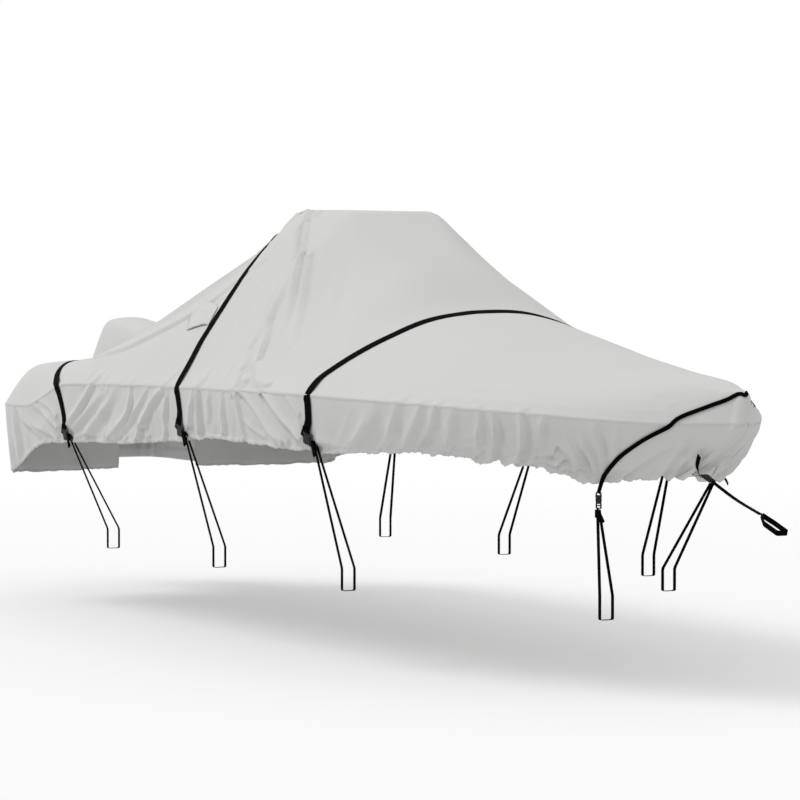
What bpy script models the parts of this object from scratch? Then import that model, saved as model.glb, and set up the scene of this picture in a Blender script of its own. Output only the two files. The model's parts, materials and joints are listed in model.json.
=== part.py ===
"""Fitted boat cover, pulled down taut by four over-straps and a bow strap.

Metres, +X to the bow end, +Y to port, +Z up. The origin is the middle of the flat peak, on the cloth's
underside. The cover's outer face is one surface, worked out from SECTIONS and HEM. It is cut into its sewn
panels along the seams, and each panel is thickened inwards. Webbing, buckles, tails and loops are separate
pieces laid on that surface.
"""
import math
from collections import namedtuple

import bmesh
import bpy
from mathutils import Matrix, Vector

# Driving dimensions.
CLOTH = 0.002
SEAM_GAP = 0.0003
HALF_BEAM = 1.05
AFT_X = -2.68
AFT_HALF = 0.75
AFT_ROUND = 0.34
BOW_START = 0.90
BOW_TIP = 3.505
BOW_TIP_RADIUS = 0.055
BOW_CURVE = 0.91
HIP_LIMIT = 0.9
NOSE_LENGTH = 0.055
BOW_HEM_SETBACK = 0.46
HEM_TUCK_SIDE = 0.05
HEM_TUCK_AFT = 0.08
HEM_TUCK_FADE = 0.3
SKIRT_BEND = 1.5
FOLD_GROWTH = 0.7
LIP = 0.012
HIP_SOFT_AFT = 0.05
HIP_SOFT_FORE = 0.25
HIP_SOFT_FROM = 0.3
HIP_SOFT_TO = 0.8
STATION_STEP = 0.115
SLOPE_COLUMNS = 5
SKIRT_ROWS = (0.0, 0.22, 0.48, 0.74, 1.0)
SMOOTH = 0.05
HOOD_HALF = 0.245
WEB_WIDTH = 0.025
STRAP_WIDTHS = (0.050, 0.050, 0.050, 0.020)
WEB_THICK = 0.0018
WEB_LIFT = 0.0085
WEB_STEP = 0.075
LOOP_HALF_WIDTH = 0.033
LOOP_LEG = 0.105
LOOP_STRAIGHT = 0.050
LOOP_APART = 0.004
LOOP_GAP = 0.0025
LOOP_NECK = 0.016
TAIL_LENGTH = 0.084
TAIL_STEPS = 3
TAIL_CLEAR = 0.013
BUCKLE_LENGTH = 0.075
BUCKLE_WIDTH = 0.038
BUCKLE_MARGIN = 0.012
BUCKLE_THICK = 0.011

Section = namedtuple("Section", "x edge_z hip_half ridge_z full_starboard full_port")
SECTIONS = (
    Section(-2.68, -1.060, 0.68, -1.045, 1.1, 1.1),
    Section(-2.64, -1.060, 0.74, -0.980, 1.15, 1.15),
    Section(-2.55, -1.058, 0.82, -0.890, 1.6, 1.5),
    Section(-2.33, -1.057, 0.86, -0.832, 2.2, 1.6),
    Section(-2.05, -1.055, 0.86, -0.815, 2.2, 1.6),
    Section(-1.83, -0.985, 0.86, -0.805, 2.0, 1.6),
    Section(-1.64, -0.922, 0.84, -0.795, 2.0, 1.6),
    Section(-1.50, -0.914, 0.82, -0.757, 1.8, 1.6),
    Section(-1.12, -0.905, 0.70, -0.598, 1.3, 1.3),
    Section(-0.50, -0.892, 0.37, -0.212, 1.1, 1.1),
    Section(-0.285, -0.890, 0.25, 0.008, 1.05, 1.05),
    Section(0.265, -0.885, 0.25, -0.004, 1.05, 1.0),
    Section(0.59, -0.883, 0.26, -0.146, 1.08, 0.91),
    Section(0.80, -0.882, 0.26, -0.232, 1.1, 0.88),
    Section(1.01, -0.881, 0.26, -0.333, 1.25, 0.93),
    Section(1.28, -0.880, 0.25, -0.490, 1.55, 1.0),
    Section(1.50, -0.885, 0.22, -0.537, 1.65, 1.1),
    Section(2.10, -0.900, 0.15, -0.650, 1.8, 1.35),
    Section(2.67, -0.925, 0.12, -0.735, 1.9, 1.7),
    Section(3.18, -0.955, 0.08, -0.775, 2.0, 2.1),
    Section(3.42, -0.948, 0.03, -0.812, 2.0, 2.3),
    Section(3.475, -0.948, 0.01, -0.814, 2.0, 2.3),
    Section(3.505, -0.948, 0.00, -0.818, 2.0, 2.3),
)
AFT_PANEL_FRONT_X = -0.285
HOOD_FRONT_X = -2.33

# The hem's height below each station of the edge line.
Hem = namedtuple("Hem", "x z")
HEM = (
    Hem(-2.68, -1.455), Hem(-2.45, -1.440), Hem(-2.25, -1.375), Hem(-2.08, -1.298), Hem(-1.94, -1.258),
    Hem(-1.64, -1.238), Hem(-1.31, -1.224), Hem(-0.91, -1.211), Hem(-0.52, -1.188), Hem(-0.15, -1.166),
    Hem(0.21, -1.135), Hem(0.39, -1.132), Hem(0.89, -1.143), Hem(1.53, -1.153), Hem(2.20, -1.126),
    Hem(2.63, -1.149), Hem(2.93, -1.180), Hem(3.06, -1.222), Hem(3.14, -1.250), Hem(3.22, -1.209),
    Hem(3.505, -1.196),
)

# Main folds of a skirt: where each leaves the edge line and meets the hem, its half width and its height.
Fold = namedtuple("Fold", "top_x hem_x half_width height")
SKIRT_FOLDS = (
    Fold(-2.30, -2.10, 0.07, 0.018),
    Fold(-1.75, -1.95, 0.08, 0.020),
    Fold(-1.20, -1.48, 0.08, 0.022),
    Fold(-0.61, -0.86, 0.07, 0.020),
    Fold(-0.21, -0.40, 0.06, 0.018),
    Fold(0.30, 0.34, 0.07, 0.016),
    Fold(0.70, 0.90, 0.08, 0.014),
    Fold(1.28, 1.62, 0.08, 0.012),
    Fold(2.01, 1.92, 0.07, 0.016),
    Fold(2.30, 2.27, 0.07, 0.016),
    Fold(2.62, 2.64, 0.07, 0.018),
    Fold(2.83, 2.98, 0.06, 0.018),
)

# Free webbing below each over-strap's last place on the cloth, down to its buckle.
STRAP_DROPS = (0.0, 0.0, 0.0, 0.040)

# Over-straps: each row is a place on the starboard half, by station x and by the share of the girth from the
# middle (1 is the edge line, 2 the hem). The port half mirrors it, except strap 4's, which runs further aft.
Place = namedtuple("Place", "x girth")
STRAP_ROUTES = (
    (Place(-1.590, 1.74), Place(-1.595, 1.40), Place(-1.635, 1.00), Place(-1.740, 0.92), Place(-1.840, 0.78),
     Place(-1.865, 0.66), Place(-1.845, 0.50), Place(-1.840, 0.00)),
    (Place(-0.075, 1.66), Place(-0.062, 1.25), Place(-0.070, 1.00), Place(-0.130, 0.94), Place(-0.200, 0.88),
     Place(-0.262, 0.78), Place(-0.345, 0.65), Place(-0.420, 0.50), Place(-0.425, 0.00)),
    (Place(1.352, 1.62), Place(1.345, 1.00), Place(1.290, 0.94), Place(1.315, 0.86), Place(1.365, 0.72),
     Place(1.380, 0.57), Place(1.355, 0.30), Place(1.344, 0.00)),
    (Place(3.135, 1.93), Place(3.120, 1.72), Place(3.120, 1.52), Place(3.140, 1.35), Place(3.180, 1.20),
     Place(3.250, 1.00), Place(3.280, 0.96), Place(3.330, 0.91), Place(3.370, 0.86), Place(3.410, 0.80),
     Place(3.450, 0.74), Place(3.475, 0.60), Place(3.485, 0.00)),
)
STRAP_4_PORT = (
    Place(2.420, 1.93), Place(2.440, 1.70), Place(2.500, 1.35), Place(2.570, 1.10), Place(2.600, 1.00),
    Place(2.660, 0.97), Place(2.850, 0.95), Place(3.050, 0.93), Place(3.230, 0.89), Place(3.360, 0.84),
    Place(3.430, 0.76), Place(3.475, 0.60), Place(3.485, 0.00),
)

# The middle of each loop's flat bottom, starboard and port.
LOOP_BOTTOMS = (
    (Vector((-1.40, -0.83, -1.806)), Vector((-1.40, 0.83, -1.806))),
    (Vector((-0.05, -0.83, -1.806)), Vector((-0.05, 0.83, -1.806))),
    (Vector((1.38, -0.83, -1.806)), Vector((1.38, 0.83, -1.806))),
    (Vector((2.82, -0.29, -1.840)), Vector((2.15, 0.46, -1.800))),
)
SIDES = (("starboard", -1), ("port", 1))

# Bow strap: from the bow end of the hem forward and down to the bow loop, its flat side up.
BOW_BUCKLE_MIDDLE = Vector((3.190, 0.0, -1.202))
BOW_BUCKLE_DOWN = Vector((0.080, 0.0, -0.030))
BOW_END = Vector((3.605, 0.0, -1.335))
BOW_LOOP_NEAR = Vector((3.666, 0.027, -1.368))
BOW_LOOP_FAR = Vector((3.767, 0.027, -1.402))
BOW_TAIL = (
    Vector((3.178, -0.034, -1.190)),
    Vector((3.225, -0.076, -1.165)),
    Vector((3.264, -0.103, -1.135)),
    Vector((3.310, -0.122, -1.095)),
)

# The hood at the aft end: half width, front, back and corner of its crown and of its base.
Ring = namedtuple("Ring", "half front back corner")
HOOD_CROWN = Ring(0.130, -2.56, -3.20, 0.08)
HOOD_BASE = Ring(0.2430, -2.332, -3.29, 0.07)
HOOD_CROWN_Z_FRONT = -0.662
HOOD_CROWN_Z_BACK = -0.606
HOOD_TOP_Z = -0.600
HOOD_DOME_SHARE = 0.55
HOOD_DOME_RISE = 0.024
HOOD_HEM_Z = -1.430
HOOD_FULLNESS = 0.75
HOOD_WAIST_Z = -1.000
HOOD_AROUND = 28
HOOD_ROWS = (0.0, 0.12, 0.30, 0.52, 0.76, 1.0)

# Vent hood: its corners by station x and girth, its mouth's height off the cloth.
VENT_MOUTH = (Place(-0.510, 0.812), Place(-0.255, 0.838))
VENT_TOP = (Place(-0.640, 0.730), Place(-0.615, 0.670), Place(-0.320, 0.780))
VENT_BULGE = 0.014
VENT_CELLS = (6, 4)

COLOURS = {
    "cloth": ((0.62, 0.62, 0.60, 1.0), 0.85),
    "webbing": ((0.012, 0.012, 0.012, 1.0), 0.70),
    "plastic": ((0.010, 0.010, 0.010, 1.0), 0.40),
}


def clear_scene():
    for item in list(bpy.data.objects):
        bpy.data.objects.remove(item, do_unlink=True)


def material_for(name, kind):
    colour, roughness = COLOURS[kind]
    material = bpy.data.materials.new(name + "_" + kind)
    material.use_nodes = True
    shader = material.node_tree.nodes["Principled BSDF"]
    shader.inputs["Base Color"].default_value = colour
    shader.inputs["Roughness"].default_value = roughness
    shader.inputs["Metallic"].default_value = 0.0
    return material


def add_object(name, kind, mesh_data):
    item = bpy.data.objects.new(name, mesh_data)
    bpy.context.scene.collection.objects.link(item)
    mesh_data.materials.append(material_for(name, kind))
    return item


def between(rows, x, column):
    """The named column of a table, interpolated straight between its rows."""
    if x <= rows[0].x:
        return getattr(rows[0], column)
    for low, high in zip(rows, rows[1:]):
        if x <= high.x:
            share = (x - low.x) / (high.x - low.x)
            return getattr(low, column) * (1 - share) + getattr(high, column) * share
    return getattr(rows[-1], column)


def section_value(x, column):
    """A column of SECTIONS, rounded over at the rows by a weighted mean of seven places around x."""
    total = 0.0
    for step in range(-3, 4):
        total += (4 - abs(step)) * between(SECTIONS, x + step * SMOOTH / 3, column)
    return total / 16


def half_beam(x):
    """Half the width between the edge lines: an ogive to the bow, a round tip and round aft corners."""
    share = min(max((x - BOW_START) / (BOW_TIP - BOW_START), 0.0), 1.0)
    half = HALF_BEAM * (1 - share ** 2) ** BOW_CURVE
    tip_centre = BOW_TIP - BOW_TIP_RADIUS
    if x > tip_centre:
        half = math.sqrt(max(BOW_TIP_RADIUS ** 2 - (x - tip_centre) ** 2, 0.0))
    corner = min(max((AFT_X + AFT_ROUND - x) / AFT_ROUND, 0.0), 1.0)
    return half - (HALF_BEAM - AFT_HALF) * (1 - math.sqrt(1 - corner ** 2))


def top_height(x, y):
    """Height of the top at a place, from its ridge, its edge and how full its slope is."""
    half = half_beam(x)
    edge = section_value(x, "edge_z")
    ridge = section_value(x, "ridge_z")
    nose = min(max((x - (BOW_TIP - NOSE_LENGTH)) / NOSE_LENGTH, 0.0), 1.0)
    ridge = edge + (ridge - edge) * math.sqrt(1 - nose ** 2)
    if half < 1e-6:
        return edge
    hip = min(section_value(x, "hip_half"), half * HIP_LIMIT)
    fullness = section_value(x, "full_starboard" if y < 0 else "full_port")
    rise = (half - abs(y)) / (half - hip)
    forward = min(max((x - HIP_SOFT_FROM) / (HIP_SOFT_TO - HIP_SOFT_FROM), 0.0), 1.0)
    soft = HIP_SOFT_AFT + (HIP_SOFT_FORE - HIP_SOFT_AFT) * forward
    if rise > 1 + soft:
        rise = 1.0
    elif rise > 1 - soft:
        rise = 1 - (1 + soft - rise) ** 2 / (4 * soft)
    rise = min(max(rise, 0.0), 1.0)
    return edge + (ridge - edge) * (1 - (1 - rise) ** fullness)


def top_point(x, girth):
    """A place on the top: girth 0 is the middle, 0.5 the hip and 1 the edge line, negative to starboard."""
    half = half_beam(x)
    hip = min(section_value(x, "hip_half"), half * HIP_LIMIT)
    share = abs(girth)
    across = hip * share / 0.5 if share < 0.5 else hip + (half - hip) * (share - 0.5) / 0.5
    y = math.copysign(across, girth)
    return Vector((x, y, top_height(x, y)))


def hem_point(edge):
    """The place on the hem below a place on the edge line: tucked in, and drawn back at the bow."""
    corner = min(max((AFT_X + AFT_ROUND - edge.x) / AFT_ROUND, 0.0), 1.0)
    beside = min(max((abs(edge.y) - HOOD_HALF) / HEM_TUCK_FADE, 0.0), 1.0)
    from_hood = 1.0 - corner * (1.0 - beside)
    y = edge.y * (1 - HEM_TUCK_SIDE / HALF_BEAM * from_hood)
    x = edge.x + HEM_TUCK_AFT * corner * from_hood
    if edge.x > BOW_START:
        length = BOW_TIP - BOW_START
        x = BOW_START + (edge.x - BOW_START) * (length - BOW_HEM_SETBACK) / length
    return Vector((x, y, between(HEM, edge.x, "z")))


def fold_height(x, share):
    """How far the skirt's folds stand out at a station, growing from the edge line to the hem."""
    height = 0.0
    for fold in SKIRT_FOLDS:
        middle = fold.top_x * (1 - share) + fold.hem_x * share
        height += fold.height * math.exp(-((x - middle) / fold.half_width) ** 2)
    return height * share ** FOLD_GROWTH


def skirt_point(edge, share):
    """A place on the skirt, below a place on the edge line."""
    hem = hem_point(edge)
    bend = share ** SKIRT_BEND
    place = edge.lerp(hem, bend)
    place.z = edge.z - LIP + (hem.z - edge.z + LIP) * share
    outward = Vector((0.0, math.copysign(1.0, edge.y) if abs(edge.y) > 1e-6 else 0.0, 0.0))
    from_aft = min(max((edge.x - AFT_X) / AFT_ROUND, 0.0), 1.0)
    from_bow = min(max((BOW_TIP - edge.x) / 0.4, 0.0), 1.0)
    return place + outward * fold_height(edge.x, share) * from_aft * from_bow


def stations():
    """Station x values: every section, and even steps between them."""
    places = [SECTIONS[0].x]
    for low, high in zip(SECTIONS, SECTIONS[1:]):
        count = max(1, math.ceil((high.x - low.x) / STATION_STEP - 0.2))
        places += [low.x + (high.x - low.x) * step / count for step in range(1, count + 1)]
    return places


def columns(x):
    """Girth values across the top at a station, starboard to port, with a column at the hood's half width."""
    hip = min(section_value(x, "hip_half"), half_beam(x) * HIP_LIMIT)
    inner = 0.5 * min(HOOD_HALF / hip, 0.5) if hip > 1e-6 else 0.25
    half = [0.0, inner, (inner + 0.5) / 2]
    half += [0.5 + 0.5 * step / SLOPE_COLUMNS for step in range(SLOPE_COLUMNS + 1)]
    return [-value for value in reversed(half[1:])] + half


def add_face(shape, corners, panel):
    """A face between corners, without the ones that fall together, tagged with its panel."""
    kept = []
    for corner in corners:
        if corner not in kept:
            kept.append(corner)
    if len(kept) < 3:
        return
    face = shape.faces.new(kept)
    face.material_index = panel


PANELS = ("top_panel", "aft_panel", "skirt_starboard", "skirt_port")


def cover_surface():
    """The whole outer face as one mesh, each face tagged with its panel's number in PANELS."""
    shape = bmesh.new()
    places = stations()
    grid = []
    for x in places[:-1]:
        grid.append([shape.verts.new(top_point(x, girth)) for girth in columns(x)])
    tip = shape.verts.new(top_point(places[-1], 0.0))
    width = len(grid[0])
    grid.append([tip] * width)
    middle = width // 2
    hips = (SLOPE_COLUMNS, width - 1 - SLOPE_COLUMNS)
    for row, x in enumerate(places[:-1]):
        for column in range(width - 1):
            behind_peak = x < AFT_PANEL_FRONT_X - 1e-6
            aft = behind_peak and hips[0] <= column < hips[1]
            if aft and x < HOOD_FRONT_X - 1e-6 and column in (middle - 1, middle):
                continue
            upper, lower = grid[row], grid[row + 1]
            corners = [upper[column], lower[column], lower[column + 1], upper[column + 1]]
            add_face(shape, corners, 1 if aft else 0)
    bow_line = [shape.verts.new(skirt_point(tip.co, share)) for share in SKIRT_ROWS]
    for number, side in ((2, -1), (3, 1)):
        outer = 0 if side < 0 else width - 1
        inner = middle + side
        chain = [grid[0][column] for column in range(inner, outer + side, side)]
        chain += [grid[row][outer] for row in range(1, len(places))]
        lines = []
        for vert in chain:
            if vert is tip:
                lines.append([tip] + bow_line)
            else:
                edge = vert.co.copy()
                lines.append([vert] + [shape.verts.new(skirt_point(edge, share)) for share in SKIRT_ROWS])
        for first, second in zip(lines, lines[1:]):
            for level in range(len(SKIRT_ROWS)):
                corners = [first[level], first[level + 1], second[level + 1], second[level]]
                if side > 0:
                    corners.reverse()
                add_face(shape, corners, 0 if level == 0 else number)
    shape.normal_update()
    return shape


def panel_mesh(name, shape, number, thickness):
    """A closed sheet from a surface's tagged faces, thickened inwards and drawn back by half a seam gap."""
    wanted = [face for face in shape.faces if face.material_index == number]
    inward = {}
    rims = []
    for face in wanted:
        for loop in face.loops:
            same_panel = [other for other in loop.edge.link_faces if other.material_index == number]
            if len(same_panel) > 1:
                continue
            start, end = loop.vert, loop.link_loop_next.vert
            rims.append((start, end))
            direction = face.normal.cross(end.co - start.co).normalized()
            for vert in (start, end):
                inward.setdefault(vert, []).append(direction)
    outer = {}
    inner = {}
    sheet = bmesh.new()
    for vert in {vert for face in wanted for vert in face.verts}:
        shift = Vector()
        if vert in inward:
            total = sum(inward[vert], Vector())
            if total.length > 0.3:
                shift = total.normalized() * SEAM_GAP / 2 / max(total.length / len(inward[vert]), 0.4)
        outer[vert] = vert.co + shift
        inner[vert] = vert.co + shift - vert.normal * thickness
    order = sorted(outer, key=lambda vert: vert.index)
    top = {vert: sheet.verts.new(outer[vert]) for vert in order}
    under = {vert: sheet.verts.new(inner[vert]) for vert in order}
    for face in wanted:
        sheet.faces.new([top[vert] for vert in face.verts])
        sheet.faces.new([under[vert] for vert in reversed(face.verts)])
    for start, end in rims:
        sheet.faces.new([top[end], top[start], under[start], under[end]])
    bmesh.ops.triangulate(sheet, faces=sheet.faces)
    mesh_data = bpy.data.meshes.new(name)
    sheet.to_mesh(mesh_data)
    sheet.free()
    return mesh_data


def make_cover():
    shape = cover_surface()
    shape.verts.index_update()
    for number, name in enumerate(PANELS):
        add_object(name, "cloth", panel_mesh(name, shape, number, CLOTH))
    shape.free()


def ring_point(ring, share):
    """A place on a rounded rectangle, by the share of the way round, starting at the middle of its front."""
    length = ring.front - ring.back
    middle = (ring.front + ring.back) / 2
    angle = share * 2 * math.pi
    power = 2.0 / (2.0 + 6.0 * (1 - ring.corner / ring.half))
    cosine, sine = math.cos(angle), math.sin(angle)
    x = middle + length / 2 * math.copysign(abs(cosine) ** power, cosine)
    y = ring.half * math.copysign(abs(sine) ** power, sine)
    return Vector((x, y, 0.0))


def make_hood():
    """The aft hood: a crown, and a band below it down to the aft panel in front and to the hem behind."""
    shape = bmesh.new()
    length = HOOD_CROWN.front - HOOD_CROWN.back
    rows = []
    for level in HOOD_ROWS:
        row = []
        for step in range(HOOD_AROUND):
            share = step / HOOD_AROUND
            crown = ring_point(HOOD_CROWN, share)
            forward = (crown.x - HOOD_CROWN.back) / length
            crown.z = HOOD_CROWN_Z_BACK * (1 - forward) + HOOD_CROWN_Z_FRONT * forward
            base = ring_point(HOOD_BASE, share)
            base.z = HOOD_HEM_Z
            if base.x > AFT_X:
                base.z = top_height(base.x, base.y) - 0.004
            z = crown.z * (1 - level) + base.z * level
            waist = max(HOOD_WAIST_Z, base.z)
            spread = min((crown.z - z) / (crown.z - waist), 1.0) ** HOOD_FULLNESS
            place = crown.lerp(base, spread)
            place.z = z
            row.append(shape.verts.new(place))
        rows.append(row)
    inner = []
    for step in range(HOOD_AROUND):
        edge = rows[0][step].co
        centre = Vector(((HOOD_CROWN.front + HOOD_CROWN.back) / 2, 0.0, 0.0))
        place = centre.lerp(edge, HOOD_DOME_SHARE)
        place.z = edge.z + HOOD_DOME_RISE
        inner.append(shape.verts.new(place))
    top = shape.verts.new(Vector(((HOOD_CROWN.front + HOOD_CROWN.back) / 2, 0.0, HOOD_TOP_Z)))
    for step in range(HOOD_AROUND):
        after = (step + 1) % HOOD_AROUND
        add_face(shape, [top, inner[step], inner[after]], 0)
        add_face(shape, [inner[step], rows[0][step], rows[0][after], inner[after]], 0)
        for level in range(len(rows) - 1):
            corners = [rows[level][step], rows[level + 1][step], rows[level + 1][after], rows[level][after]]
            add_face(shape, corners, 0 if level < 2 else 1)
    shape.normal_update()
    shape.verts.index_update()
    for number, name in enumerate(("hood_crown", "hood_band")):
        add_object(name, "cloth", panel_mesh(name, shape, number, CLOTH))
    shape.free()


def cover_point(x, girth):
    """A place on the cover's outer face by station x and girth, out to 2 at the hem."""
    if abs(girth) <= 1:
        return top_point(x, girth)
    return skirt_point(top_point(x, math.copysign(1.0, girth)), abs(girth) - 1)


def cover_normal(x, girth):
    """The outward direction there, from two short steps on the surface."""
    step = 0.02
    across = cover_point(x, girth + step) - cover_point(x, girth - step)
    along = cover_point(x + step, girth) - cover_point(x - step, girth)
    return along.cross(across).normalized()


def ribbon(name, kind, points, normals, width=WEB_WIDTH, thickness=WEB_THICK):
    """A closed band along points with face normals; a normal's length widens the thickness at a mitre."""
    shape = bmesh.new()
    rings = []
    for step, (place, normal) in enumerate(zip(points, normals)):
        before = points[max(step - 1, 0)]
        after = points[min(step + 1, len(points) - 1)]
        side = (after - before).cross(normal).normalized()
        half = side * width / 2
        depth = normal * thickness / 2
        corners = (place - half - depth, place + half - depth, place + half + depth, place - half + depth)
        rings.append([shape.verts.new(corner) for corner in corners])
    for first, second in zip(rings, rings[1:]):
        for corner in range(4):
            after = (corner + 1) % 4
            shape.faces.new([first[corner], first[after], second[after], second[corner]])
    shape.faces.new(list(reversed(rings[0])))
    shape.faces.new(rings[-1])
    bmesh.ops.recalc_face_normals(shape, faces=shape.faces)
    bmesh.ops.triangulate(shape, faces=shape.faces)
    mesh_data = bpy.data.meshes.new(name)
    shape.to_mesh(mesh_data)
    shape.free()
    return add_object(name, kind, mesh_data)


def half_line(route, side):
    """Places along one half of an over-strap, from its lower end to the middle, at even steps."""
    half = []
    for first, second in zip(route, route[1:]):
        start = cover_point(first.x, side * first.girth)
        end = cover_point(second.x, side * second.girth)
        count = max(1, round((end - start).length / WEB_STEP))
        for step in range(count):
            share = step / count
            x = first.x * (1 - share) + second.x * share
            girth = first.girth * (1 - share) + second.girth * share
            half.append(Place(x, side * girth))
    return half


def strap_line(route, port_route, drop):
    """Points and normals of an over-strap, from the starboard end over the top to the port end."""
    places = half_line(route, -1) + [route[-1]] + list(reversed(half_line(port_route, 1)))
    points = []
    normals = []
    for place in places:
        normal = cover_normal(place.x, place.girth)
        points.append(cover_point(place.x, place.girth) + normal * WEB_LIFT)
        normals.append(normal)
    if drop > 0:
        points = [points[0] - Vector((0, 0, drop))] + points + [points[-1] - Vector((0, 0, drop))]
        normals = [Vector((0.3, -1.0, 0.0)).normalized()] + normals + [Vector((0.3, 1.0, 0.0)).normalized()]
    return points, normals


def mitred_normals(points, face_side):
    """Face normals of a bent band across face_side, lengthened at a bend to keep its walls straight."""
    flats = [(end - start).cross(face_side).normalized() for start, end in zip(points, points[1:])]
    normals = [flats[0]]
    for first, second in zip(flats, flats[1:]):
        middle = (first + second).normalized()
        normals.append(middle / max(middle.dot(first), 0.3))
    normals.append(flats[-1])
    return normals


def buckle_mesh(width):
    """A side-release buckle: a waisted body with wider shoulders at its middle, its length along Z."""
    shape = bmesh.new()
    half_length, half_width = BUCKLE_LENGTH / 2, width / 2
    profile = (
        (-0.70, -1.00), (0.70, -1.00), (0.86, -0.92), (0.86, -0.30), (1.00, -0.18), (1.00, 0.22),
        (0.84, 0.34), (0.84, 0.92), (0.70, 1.00), (-0.70, 1.00), (-0.84, 0.92), (-0.84, 0.34),
        (-1.00, 0.22), (-1.00, -0.18), (-0.86, -0.30), (-0.86, -0.92),
    )
    front = [shape.verts.new((x * half_width, -BUCKLE_THICK / 2, z * half_length)) for x, z in profile]
    face = shape.faces.new(front)
    result = bmesh.ops.extrude_face_region(shape, geom=[face])
    moved = [item for item in result["geom"] if isinstance(item, bmesh.types.BMVert)]
    bmesh.ops.translate(shape, verts=moved, vec=(0.0, BUCKLE_THICK, 0.0))
    bmesh.ops.recalc_face_normals(shape, faces=shape.faces)
    bmesh.ops.triangulate(shape, faces=shape.faces)
    mesh_data = bpy.data.meshes.new("buckle")
    shape.to_mesh(mesh_data)
    shape.free()
    return mesh_data


def place_buckle(name, middle, down, outward, width=BUCKLE_WIDTH):
    """A buckle with its length along down and its front to outward."""
    item = add_object(name, "plastic", buckle_mesh(width))
    down = down.normalized()
    outward = (outward - down * outward.dot(down)).normalized()
    turned = Matrix((down.cross(outward), -outward, -down)).transposed()
    item.matrix_world = Matrix.Translation(middle) @ turned.to_4x4()
    return item


def make_strap(number, route):
    width = STRAP_WIDTHS[number - 1]
    port_route = STRAP_4_PORT if number == 4 else route
    points, normals = strap_line(route, port_route, STRAP_DROPS[number - 1])
    ribbon(f"strap_{number}", "webbing", points, normals, width)
    for (side_name, side), bottom in zip(SIDES, LOOP_BOTTOMS[number - 1]):
        end, before = (points[0], points[1]) if side < 0 else (points[-1], points[-2])
        outward = normals[0] if side < 0 else normals[-1]
        down = (end - before).normalized()
        lift = outward * (BUCKLE_THICK / 2 + 0.001)
        middle = end + down * (BUCKLE_LENGTH / 2 + 0.001) + lift
        place_buckle(f"buckle_{number}_{side_name}", middle, down, outward, width + BUCKLE_MARGIN)
        foot = middle + down * (BUCKLE_LENGTH / 2 + LOOP_GAP)
        make_loop(f"loop_{number}_{side_name}", foot, down, bottom, side)
        tail_points = []
        for step in range(TAIL_STEPS + 1):
            reach = TAIL_LENGTH * step / TAIL_STEPS
            clear = outward * (TAIL_CLEAR + 0.1 * reach)
            tail_points.append(foot + clear + Vector((reach * 0.75, 0.0, -reach * 0.65)))
        ribbon(f"tail_{number}_{side_name}", "webbing", tail_points, [outward] * len(tail_points))


def make_loop(name, foot, down, bottom, side):
    """The lower webbing: from the buckle down its outer leg, across its flat bottom and up its inner leg."""
    outer_y = bottom.y + side * LOOP_HALF_WIDTH
    inner_y = bottom.y - side * LOOP_HALF_WIDTH
    leg_top = bottom.z + LOOP_LEG
    straight = bottom.z + LOOP_STRAIGHT
    apart = Vector((0.0, side * LOOP_APART, 0.0))
    neck = foot + down * LOOP_NECK
    points = [
        foot + apart,
        neck + apart * 1.3,
        Vector((bottom.x, outer_y, leg_top)),
        Vector((bottom.x, outer_y, straight)),
        Vector((bottom.x, outer_y, bottom.z)),
        Vector((bottom.x, inner_y, bottom.z)),
        Vector((bottom.x, inner_y, straight)),
        Vector((bottom.x, inner_y, leg_top)),
        neck - apart * 1.3,
        foot - apart,
    ]
    ribbon(name, "webbing", points, mitred_normals(points, Vector((float(-side), 0.0, 0.0))))


def make_bow_strap():
    down = BOW_BUCKLE_DOWN.normalized()
    up = Vector((-down.z, 0.0, down.x))
    place_buckle("bow_buckle", BOW_BUCKLE_MIDDLE, down, up)
    reach = down * (BUCKLE_LENGTH / 2 + 0.001)
    hem_tip = hem_point(top_point(BOW_TIP, 0.0))
    tab = [hem_tip + Vector((-0.020, 0.0, -0.008)), BOW_BUCKLE_MIDDLE - reach]
    ribbon("bow_tab", "webbing", tab, [up] * 2)
    start = BOW_BUCKLE_MIDDLE + reach
    strap = [start, start.lerp(BOW_END, 0.5) + Vector((0.0, 0.0, -0.008)), BOW_END]
    ribbon("bow_strap", "webbing", strap, [up] * 3)
    ribbon("bow_tail", "webbing", list(BOW_TAIL), [Vector((0.45, -0.85, 0.2)).normalized()] * len(BOW_TAIL))
    starboard = Vector((1.0, -1.0, 1.0))
    leave = BOW_END + Vector((0.004, 0.0, -0.002))
    points = [
        leave + Vector((0.0, -0.003, 0.0)),
        BOW_LOOP_NEAR * starboard,
        BOW_LOOP_FAR * starboard,
        BOW_LOOP_FAR,
        BOW_LOOP_NEAR,
        leave + Vector((0.0, 0.003, 0.0)),
    ]
    run = BOW_LOOP_FAR - BOW_LOOP_NEAR
    across = Vector((-run.z, 0.0, run.x)).normalized()
    ribbon("bow_loop", "webbing", points, mitred_normals(points, across))


def along(route, share):
    """The station and girth at a share of a route, each of its legs taking an even part."""
    legs = len(route) - 1
    leg = min(int(share * legs), legs - 1)
    within = share * legs - leg
    first, second = route[leg], route[leg + 1]
    return first.x * (1 - within) + second.x * within, first.girth * (1 - within) + second.girth * within


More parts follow.
